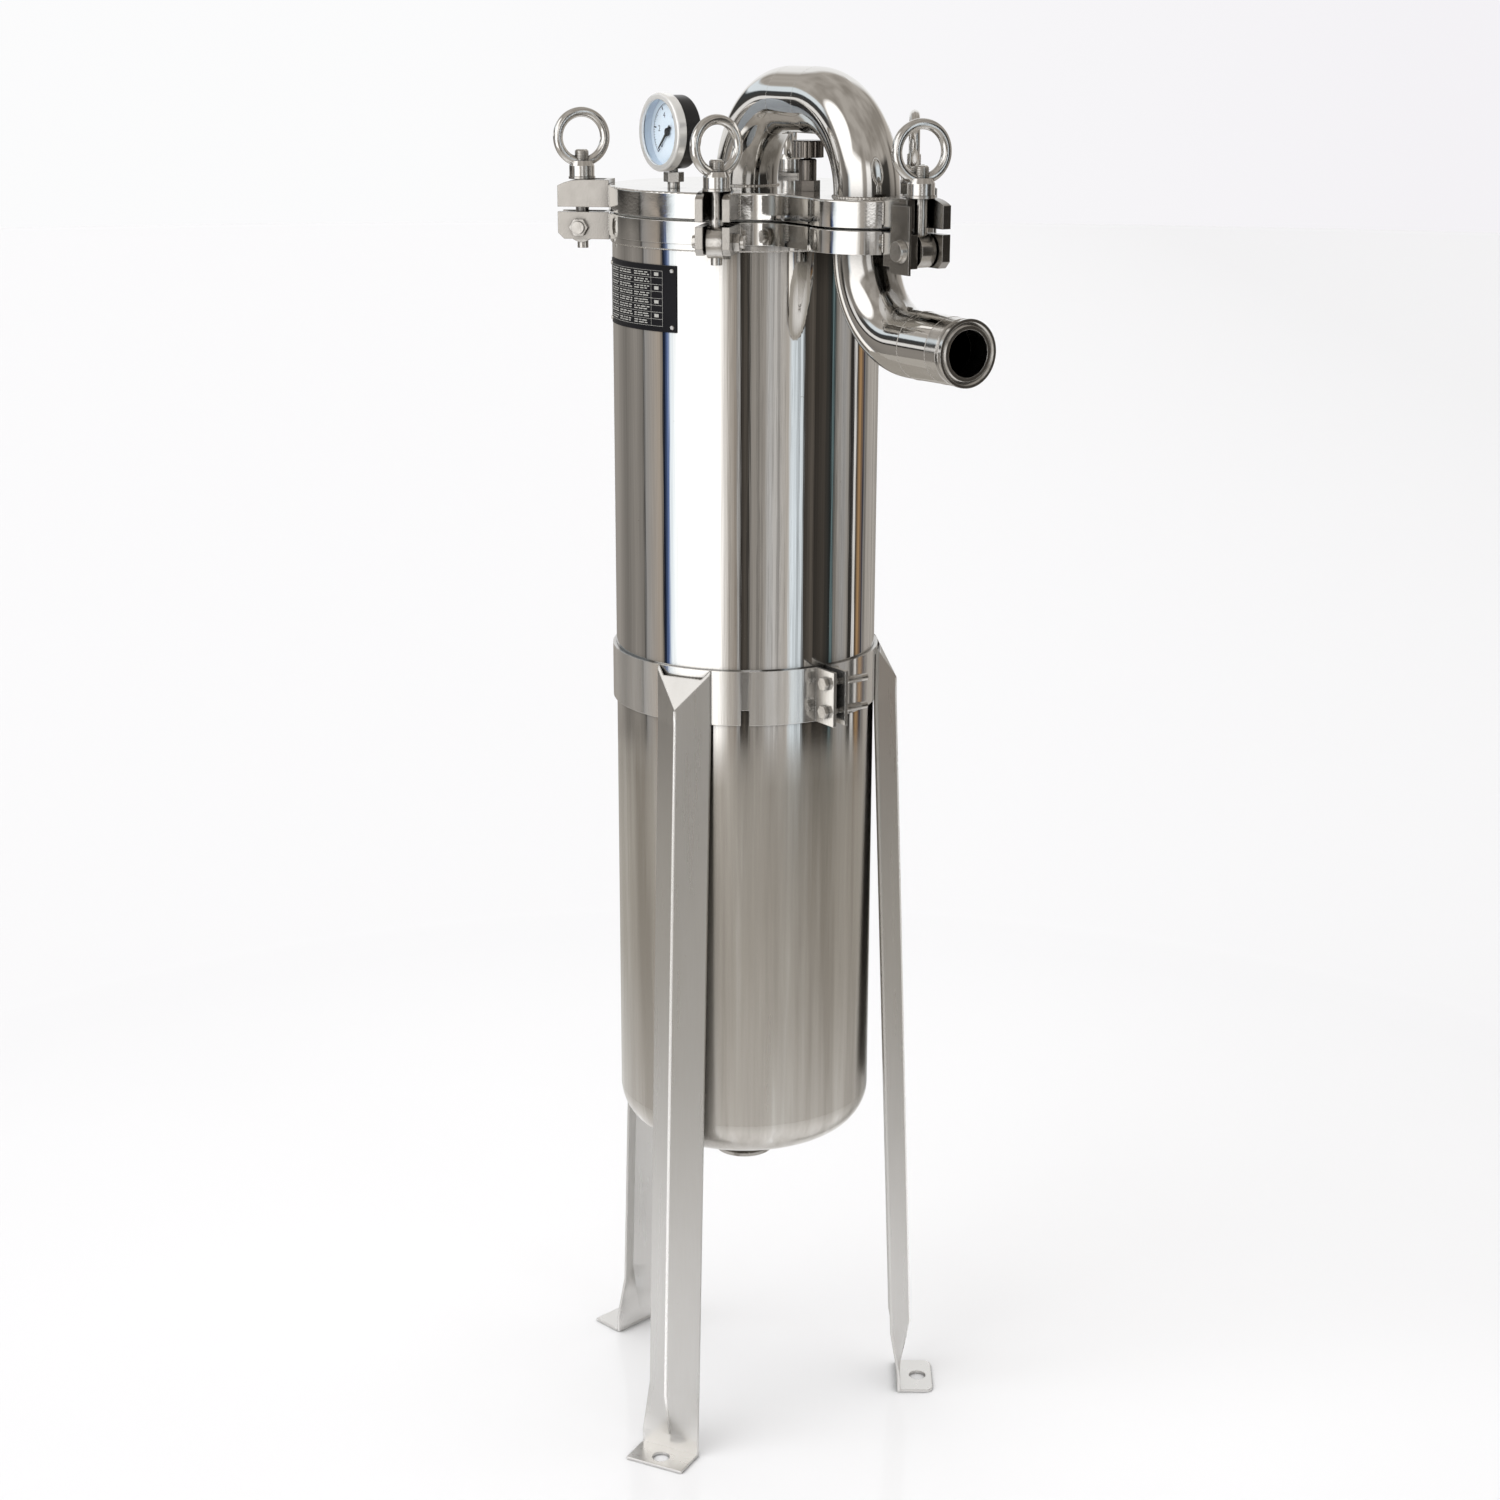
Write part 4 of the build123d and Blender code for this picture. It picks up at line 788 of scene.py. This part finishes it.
def plate_rules():
    """Blank ruled table: rows, dashes and filled cells, with no lettering."""
    points, faces = [], []

    def patch(left, right, low, high, lift=0.04):
        """A thin strip on the curved plate; left and right are mm along the arc."""
        steps = max(1, round((right - left) / 3.0))
        first = len(points)
        radius = PLATE_FACE_R + lift
        for step in range(steps + 1):
            azimuth = PLATE_AZ + math.degrees((left + (right - left) * step / steps) / PLATE_FACE_R)
            points.append(spot(azimuth, radius, low))
            points.append(spot(azimuth, radius, high))
        for step in range(steps):
            low_left = first + 2 * step
            faces.append((low_left, low_left + 2, low_left + 3, low_left + 1))

    def dashes(left, right, level):
        """A row of dashes of random lengths, in place of words."""
        place = left
        while place < right - 2.0:
            reach = min(right, place + draw.uniform(2.5, 7.0))
            patch(place, reach, level - DASH_HALF, level + DASH_HALF)
            place = reach + draw.uniform(0.8, 1.8)

    draw = random.Random(7)
    for row in range(ROWS + 1):
        level = TABLE_TOP - row * ROW_PITCH
        patch(TABLE_LEFT, TABLE_RIGHT, level - RULE_HALF, level + RULE_HALF)
    for column in (TABLE_LEFT, LAST_COLUMN, TABLE_RIGHT):
        patch(column - RULE_HALF, column + RULE_HALF, TABLE_TOP - ROWS * ROW_PITCH, TABLE_TOP)
    for row in range(ROWS):
        middle = TABLE_TOP - (row + 0.5) * ROW_PITCH
        for left, right in TEXT_COLUMNS:
            dashes(left, right, middle - LINE_APART)
            dashes(left, right, middle + LINE_APART)
        if row % 2 == 0:
            patch(*MARK_COLUMN, middle - MARK_HALF, middle + MARK_HALF)
    return mesh_piece("name_plate_rules", "vessel", points, faces, "rule", smooth=False)


plate_rules()


# ---------------------------------------------------------------- filter bag
BAG_TOP = side_of("strainer_basket", HIGH)
BAG_FLOOR = side_of("filter_bag", LOW)
BAG_R = side_of("filter_bag", HIGH, "x")
FELT_R = BAG_R - 1.0
FELT_THICK = 1.7
BAG_ROUND = 24.0
WALL_STEPS, ROUND_STEPS, BAG_SIDES = 60, 8, 144
FLOOR_RADII = (52.0, 38.0, 24.0, 10.0)
STITCH = 3.4
STITCH_PITCH = 5.0
STITCH_RADII = (0.25, 0.4, 0.4, 0.25)
# How far a stitch lies inside the felt at its ends, and how much farther at its middle.
STITCH_INSET, STITCH_ARCH = 0.9, 0.35
# The seam's two rows, from below the bag's top to above its rounded floor.
SEAM_HALF = 3.2
SEAM_TURN = math.radians(70.0)
SEAM_START, SEAM_END = 14.0, 6.0


def bag_profile():
    """Radius and height down the bag's wall and across its sewn floor."""
    wall = BAG_TOP - BAG_FLOOR - BAG_ROUND
    line = [(FELT_R, BAG_TOP - step / WALL_STEPS * wall) for step in range(WALL_STEPS + 1)]
    for step in range(1, ROUND_STEPS + 1):
        turn = math.pi / 2 * step / ROUND_STEPS
        line.append((FELT_R - BAG_ROUND * (1 - math.cos(turn)), BAG_FLOOR + BAG_ROUND * (1 - math.sin(turn))))
    return line + [(radius, BAG_FLOOR) for radius in FLOOR_RADII]


def bag_shift(turn, height):
    """How far the felt stands in from the basket: soft vertical folds, deepest halfway down."""
    share = (BAG_TOP - height) / (BAG_TOP - BAG_FLOOR)
    depth = math.sin(math.pi * min(1.0, max(0.0, share))) ** 0.7
    wander = 1.3 * math.sin(3.1 * share) + 0.8 * math.sin(2 * turn + 5.0 * share)
    fold = 0.5 + 0.5 * math.sin(7 * turn + wander)
    crease = 0.5 + 0.5 * math.sin(17 * turn - 6.0 * share)
    return depth * (1.9 * fold + 0.7 * crease)


def filter_bag_piece():
    """The felt bag as one sewn shell with a thickness, hanging from its ring."""
    points, faces = [], []
    profile = bag_profile()
    for radius, height in profile:
        for step in range(BAG_SIDES):
            turn = 2 * math.pi * step / BAG_SIDES
            inner = radius - (bag_shift(turn, height) if radius > FLOOR_RADII[0] else 0.0)
            points.append(Vector((inner * math.cos(turn), inner * math.sin(turn), height)))
    for ring in range(len(profile) - 1):
        for step in range(BAG_SIDES):
            ahead = (step + 1) % BAG_SIDES
            low, high = ring * BAG_SIDES, (ring + 1) * BAG_SIDES
            faces.append((low + step, high + step, high + ahead, low + ahead))
    faces.append([(len(profile) - 1) * BAG_SIDES + step for step in range(BAG_SIDES)])
    bag = mesh_piece("felt_bag", "vessel", points, faces, "bag")
    thicken = bag.modifiers.new("felt", "SOLIDIFY")
    thicken.thickness = FELT_THICK * MM
    thicken.offset = 0.0
    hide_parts("filter_bag")
    return bag


def bag_stitches():
    """The two rows of stitches down the bag's lengthwise seam."""
    points, faces = [], []
    for shift in (-SEAM_HALF, SEAM_HALF):
        turn = SEAM_TURN + shift / BAG_R
        out = Vector((math.cos(turn), math.sin(turn), 0.0))
        height = BAG_TOP - SEAM_START
        while height > BAG_FLOOR + BAG_ROUND + SEAM_END:
            line = []
            for share in (0.0, 0.33, 0.67, 1.0):
                level = height - STITCH * share
                inset = STITCH_INSET + STITCH_ARCH * math.sin(math.pi * share)
                reach = FELT_R - bag_shift(turn, level) - inset
                line.append((reach * out + climb(level), out, out.cross(FACE_UP)))
            add_tube(points, faces, line, STITCH_RADII, 5, False)
            height -= STITCH_PITCH
    return mesh_piece("bag_stitching", "vessel", points, faces, "thread")


filter_bag_piece()
bag_stitches()


# ---------------------------------------------------------------- floor, in metres
FLOOR_R, NEAR_FLOOR_R = 14.0, 2.2
NEAR_FLOOR_DROP = 0.0004
FLOOR_TONE = (0.875, 0.885, 0.91)
# How far from the axis the floor takes its far tone and loses its gloss.
TONE_FADE = (0.35, 1.2)
GLOSS_FADE = (0.5, 1.3)
FLOOR_GLOSS = 0.22
# Towards the right it darkens with painted shade, by this share at most.
SIDE_FADE = (0.3, 2.5)
SIDE_SHADE = 0.08


def floor_disc(name, radius, roughness, tone, far_tone):
    """A level pale disc that the object stands on, which turns to another tone far out, with painted shade
    towards the right and round what stands on it.
    """
    mesh = bpy.data.meshes.new(name)
    shape = bmesh.new()
    bmesh.ops.create_circle(shape, cap_ends=True, segments=96, radius=radius)
    shape.to_mesh(mesh)
    shape.free()
    disc = bpy.data.objects.new(name, mesh)
    bpy.context.scene.collection.objects.link(disc)
    n = MaterialNodes(name)
    grain = n.noise(n.place, 3.0, detail=2.0)
    reach = n.vector_math("LENGTH", n.place)
    shade = n.ramp(grain, [(0.3, scaled(tone, 0.99)), (0.7, tone)])
    shade = n.mix(n.remap(reach, *TONE_FADE), shade, far_tone)
    # Painted shade towards the right.
    shade = n.mix(n.remap(n.split(n.place)["X"], *SIDE_FADE, 0.0, SIDE_SHADE), shade, BLACK)
    # Painted contact shade where the floor meets what stands on it.
    n.colour(n.shaded(shade, 0.012, deepest=0.05))
    n.join(n.remap(reach, *GLOSS_FADE, FLOOR_GLOSS, 0.0), n.shader.inputs["Specular IOR Level"])
    n.set(Roughness=roughness)
    mesh.materials.append(n.material)
    disc.visible_shadow = False
    return disc


# The camera sees the wide disc; the part mirrors the near one, just below it.
floor = floor_disc("floor", FLOOR_R, 0.07, FLOOR_TONE, (0.80, 0.81, 0.835))
floor.visible_glossy = False
floor.visible_diffuse = False
near_floor = floor_disc("near_floor", NEAR_FLOOR_R, 0.3, FLOOR_TONE, (0.40, 0.385, 0.36))
near_floor.location.z = -NEAR_FLOOR_DROP
near_floor.visible_camera = False


# ---------------------------------------------------------------- studio that the metal mirrors
WARM = (1.0, 0.93, 0.85)
PALE = (1.0, 0.985, 0.97)
BROWN = (1.0, 0.87, 0.74)
COOL = (0.86, 0.94, 1.0)
TEAL = (0.70, 1.0, 1.05)
DEEP = (0.34, 0.50, 1.0)
AMBER = (1.0, 0.62, 0.30)
# Soft boxes and dark flags round the object, each with its bearing, brightness and tint.
STUDIO_LEFT = [
    (-180, 0.30, WARM), (-150, 0.34, WARM), (-128, 0.20, WARM), (-112, 0.30, WARM), (-101, 0.22, WARM),
    (-99.5, 0.04, WARM), (-97.5, 0.34, PALE), (-80, 0.44, BROWN), (-77.5, 0.28, BROWN), (-76, 0.02, DEEP),
    (-74, 0.05, DEEP), (-70.5, 0.42, DEEP), (-68.5, 1.1, COOL), (-56, 1.6, PALE), (-24, 1.6, PALE),
    (-15, 0.60, WARM), (-8, 0.30, BROWN), (-6.5, 0.65, PALE), (-4.5, 0.03, BROWN), (0, 0.10, BROWN),
]
STUDIO_RIGHT = [
    (0, 0.10, BROWN), (2.5, 0.04, WARM), (4.5, 0.32, WARM), (16, 0.36, WARM), (20, 0.62, PALE),
    (37, 0.52, WARM), (39.5, 1.0, COOL), (49, 1.0, COOL), (51.5, 0.05, BROWN), (60, 0.12, BROWN),
    (61.5, 0.04, BROWN), (72, 0.07, BROWN), (79, 0.02, TEAL), (80.5, 0.25, TEAL), (82.5, 0.03, TEAL),
    (85, 0.36, WARM), (94, 0.42, PALE), (101, 0.34, WARM), (103, 0.03, WARM), (107.5, 0.04, WARM),
    (109, 0.9, PALE), (111, 0.9, PALE), (112.5, 0.05, WARM), (118, 0.45, AMBER), (124, 0.06, DEEP),
    (129, 0.40, WARM), (150, 0.50, WARM), (180, 0.30, WARM),
]
# Above the walls, up to the ceiling.
UPPER = [
    (-180, 0.62, PALE), (-160, 0.50, WARM), (-100, 0.36, WARM), (-84, 0.22, WARM), (-70, 0.16, WARM),
    (-64, 1.1, COOL), (-58, 1.5, PALE), (-20, 1.5, PALE), (-14, 0.44, WARM), (-4, 0.42, WARM), (0, 1.2, PALE),
    (12, 1.2, PALE), (15, 0.08, WARM), (31, 0.10, WARM), (36, 1.0, COOL), (46, 1.0, COOL), (50, 0.06, WARM),
    (82, 0.06, WARM), (88, 0.36, WARM), (104, 0.44, WARM), (112, 0.10, BROWN), (122, 0.44, WARM),
    (150, 0.55, WARM), (180, 0.62, PALE),
]
# Strip lamps on the left, behind the object, by the sine of their height.
STRIPS_FROM = -0.1
STRIPS = [
    (-0.10, 0.03, WARM), (-0.025, 0.03, WARM), (-0.005, 0.9, PALE), (0.08, 0.9, PALE), (0.10, 0.06, WARM),
    (0.23, 0.06, COOL), (0.26, 0.95, COOL), (0.36, 0.95, COOL), (0.40, 0.48, WARM), (1.0, 0.46, WARM),
]
# The key soft box: bearing, height and angle from its middle to its edge, in degrees.
KEY_BOX = (-68.0, 28.0, 21.0)
STUDIO_PEAK = 1.6
# Fades by bearing in degrees: the walls' dark lines, the strips' two ends and the wall behind.
LINES_FADE = (-24, -14)
STRIPS_START, STRIPS_END = (-158, -150), (-92, -98)
BEHIND_FADE = (150, 162)
# Fades by the sine of the height: walls to ceiling, ceiling to zenith and the wall behind.
WALLS_FADE = (-0.085, -0.06)
ZENITH_FADE = (0.36, 0.46)
BEHIND_TOP = (0.72, 0.60)
# The backdrop's fade from left to right, by the sine of the angle.
BACKDROP_FADE = (-0.12, 0.25)


def toward(bearing, height):
    """The direction of a bearing and height in radians."""
    level = math.cos(height)
    return Vector((level * math.sin(bearing), -level * math.cos(bearing), math.sin(height)))


def plain(*levels):
    """A brightness of each channel as a share of the studio's peak."""
    return tuple(level / STUDIO_PEAK for level in levels)


def bands(n, value, stops, low, high):
    """The stops of a wall, placed by a value from 0 to 1 between two ends."""
    return n.ramp(value, [
        ((place - low) / (high - low), plain(*scaled(tint, level))) for place, level, tint in stops
    ])


def by_bearing(n, bearing, fade):
    """A value from 0 to 1 between two bearings in degrees."""
    return n.remap(bearing, *(math.radians(value) for value in fade))


def studio_walls(n, bearing):
    """The boxes and flags at the object's height, with fine dark lines in front and on the right."""
    left = bands(n, n.remap(bearing, -math.pi, 0.0), STUDIO_LEFT, -180, 0)
    right = bands(n, n.remap(bearing, 0.0, math.pi), STUDIO_RIGHT, 0, 180)
    walls = n.mix(n.remap(bearing, -0.001, 0.001), left, right)
    turning = n.add("ShaderNodeCombineXYZ")
    n.join(bearing, turning.inputs["X"])
    lines = n.noise(turning.outputs["Vector"], 13.0, detail=4.0, rough=0.75)
    depth = n.math("MULTIPLY", by_bearing(n, bearing, LINES_FADE), 0.55)
    return n.mix(n.math("MULTIPLY", n.remap(lines, 0.52, 0.40), depth), walls, plain(0.03, 0.028, 0.025))


def studio_ceiling(n, place, bearing, height):
    """What hangs above: boxes, strips on the left, a clouded zenith, the wall behind and the key box."""
    upper = bands(n, n.remap(bearing, -math.pi, math.pi), UPPER, -180, 180)
    strips = bands(n, n.remap(height, STRIPS_FROM, 1.0), STRIPS, STRIPS_FROM, 1.0)
    left = n.math("MULTIPLY", by_bearing(n, bearing, STRIPS_START), by_bearing(n, bearing, STRIPS_END))
    cloud = n.remap(n.noise(place, 2.2, detail=2.0), 0.38, 0.62)
    zenith = n.mix(cloud, plain(0.30, 0.275, 0.245), plain(0.48, 0.45, 0.415))
    ceiling = n.mix(n.remap(height, *ZENITH_FADE), n.mix(left, upper, strips), zenith)
    behind = by_bearing(n, n.math("ABSOLUTE", bearing), BEHIND_FADE)
    behind = n.math("MULTIPLY", behind, n.remap(height, *BEHIND_TOP))
    ceiling = n.mix(behind, ceiling, plain(0.95, 0.95, 0.95))
    box_bearing, box_height, box_reach = (math.radians(value) for value in KEY_BOX)
    near_box = n.vector_math("DOT_PRODUCT", place, toward(box_bearing, box_height))
    near_box = n.remap(near_box, math.cos(box_reach + 0.05), math.cos(box_reach - 0.03))
    return n.mix(near_box, ceiling, plain(1.5, 1.48, 1.46))


def studio_world():
    """Plain pale backdrop for the camera; a banded soft studio for what the metal reflects."""
    world = bpy.data.worlds.new("studio")
    bpy.context.scene.world = world
    world.use_nodes = True
    world.node_tree.nodes.clear()
    n = Nodes(world.node_tree)
    place = n.add("ShaderNodeTexCoord").outputs["Generated"]
    axes = n.split(place)
    height = axes["Z"]
    bearing = n.math("ARCTAN2", axes["X"], n.math("MULTIPLY", axes["Y"], -1.0))
    walls = studio_walls(n, bearing)
    ceiling = studio_ceiling(n, place, bearing, height)
    room = n.add("ShaderNodeBackground")
    room.inputs["Strength"].default_value = STUDIO_PEAK
    n.join(n.mix(n.remap(height, *WALLS_FADE), walls, ceiling), room.inputs["Color"])
    backdrop = n.add("ShaderNodeBackground")
    n.join(n.mix(n.remap(axes["X"], *BACKDROP_FADE), (0.97, 0.97, 0.975), (0.905, 0.89, 0.915)),
           backdrop.inputs["Color"])
    choose = n.add("ShaderNodeMixShader")
    n.join(n.add("ShaderNodeLightPath").outputs["Is Camera Ray"], choose.inputs["Fac"])
    n.join(room.outputs["Background"], choose.inputs[1])
    n.join(backdrop.outputs["Background"], choose.inputs[2])
    n.join(choose.outputs["Shader"], n.add("ShaderNodeOutputWorld").inputs["Surface"])


def lamp(name, bearing, height, angle, strength):
    """A broad distant light from a bearing and height in degrees, which metal doesn't mirror."""
    data = bpy.data.lights.new(name, "SUN")
    data.angle = math.radians(angle)
    data.energy = strength
    light = bpy.data.objects.new(name, data)
    bpy.context.scene.collection.objects.link(light)
    out = toward(math.radians(bearing), math.radians(height))
    light.rotation_euler = out.to_track_quat("Z", "Y").to_euler()
    light.visible_glossy = False


studio_world()
lamp("key", bearing=-58.0, height=34.0, angle=50.0, strength=0.5)
lamp("top", bearing=10.0, height=78.0, angle=140.0, strength=1.95)
bpy.context.scene.view_settings.view_transform = "Standard"
bpy.context.scene.view_settings.look = "None"
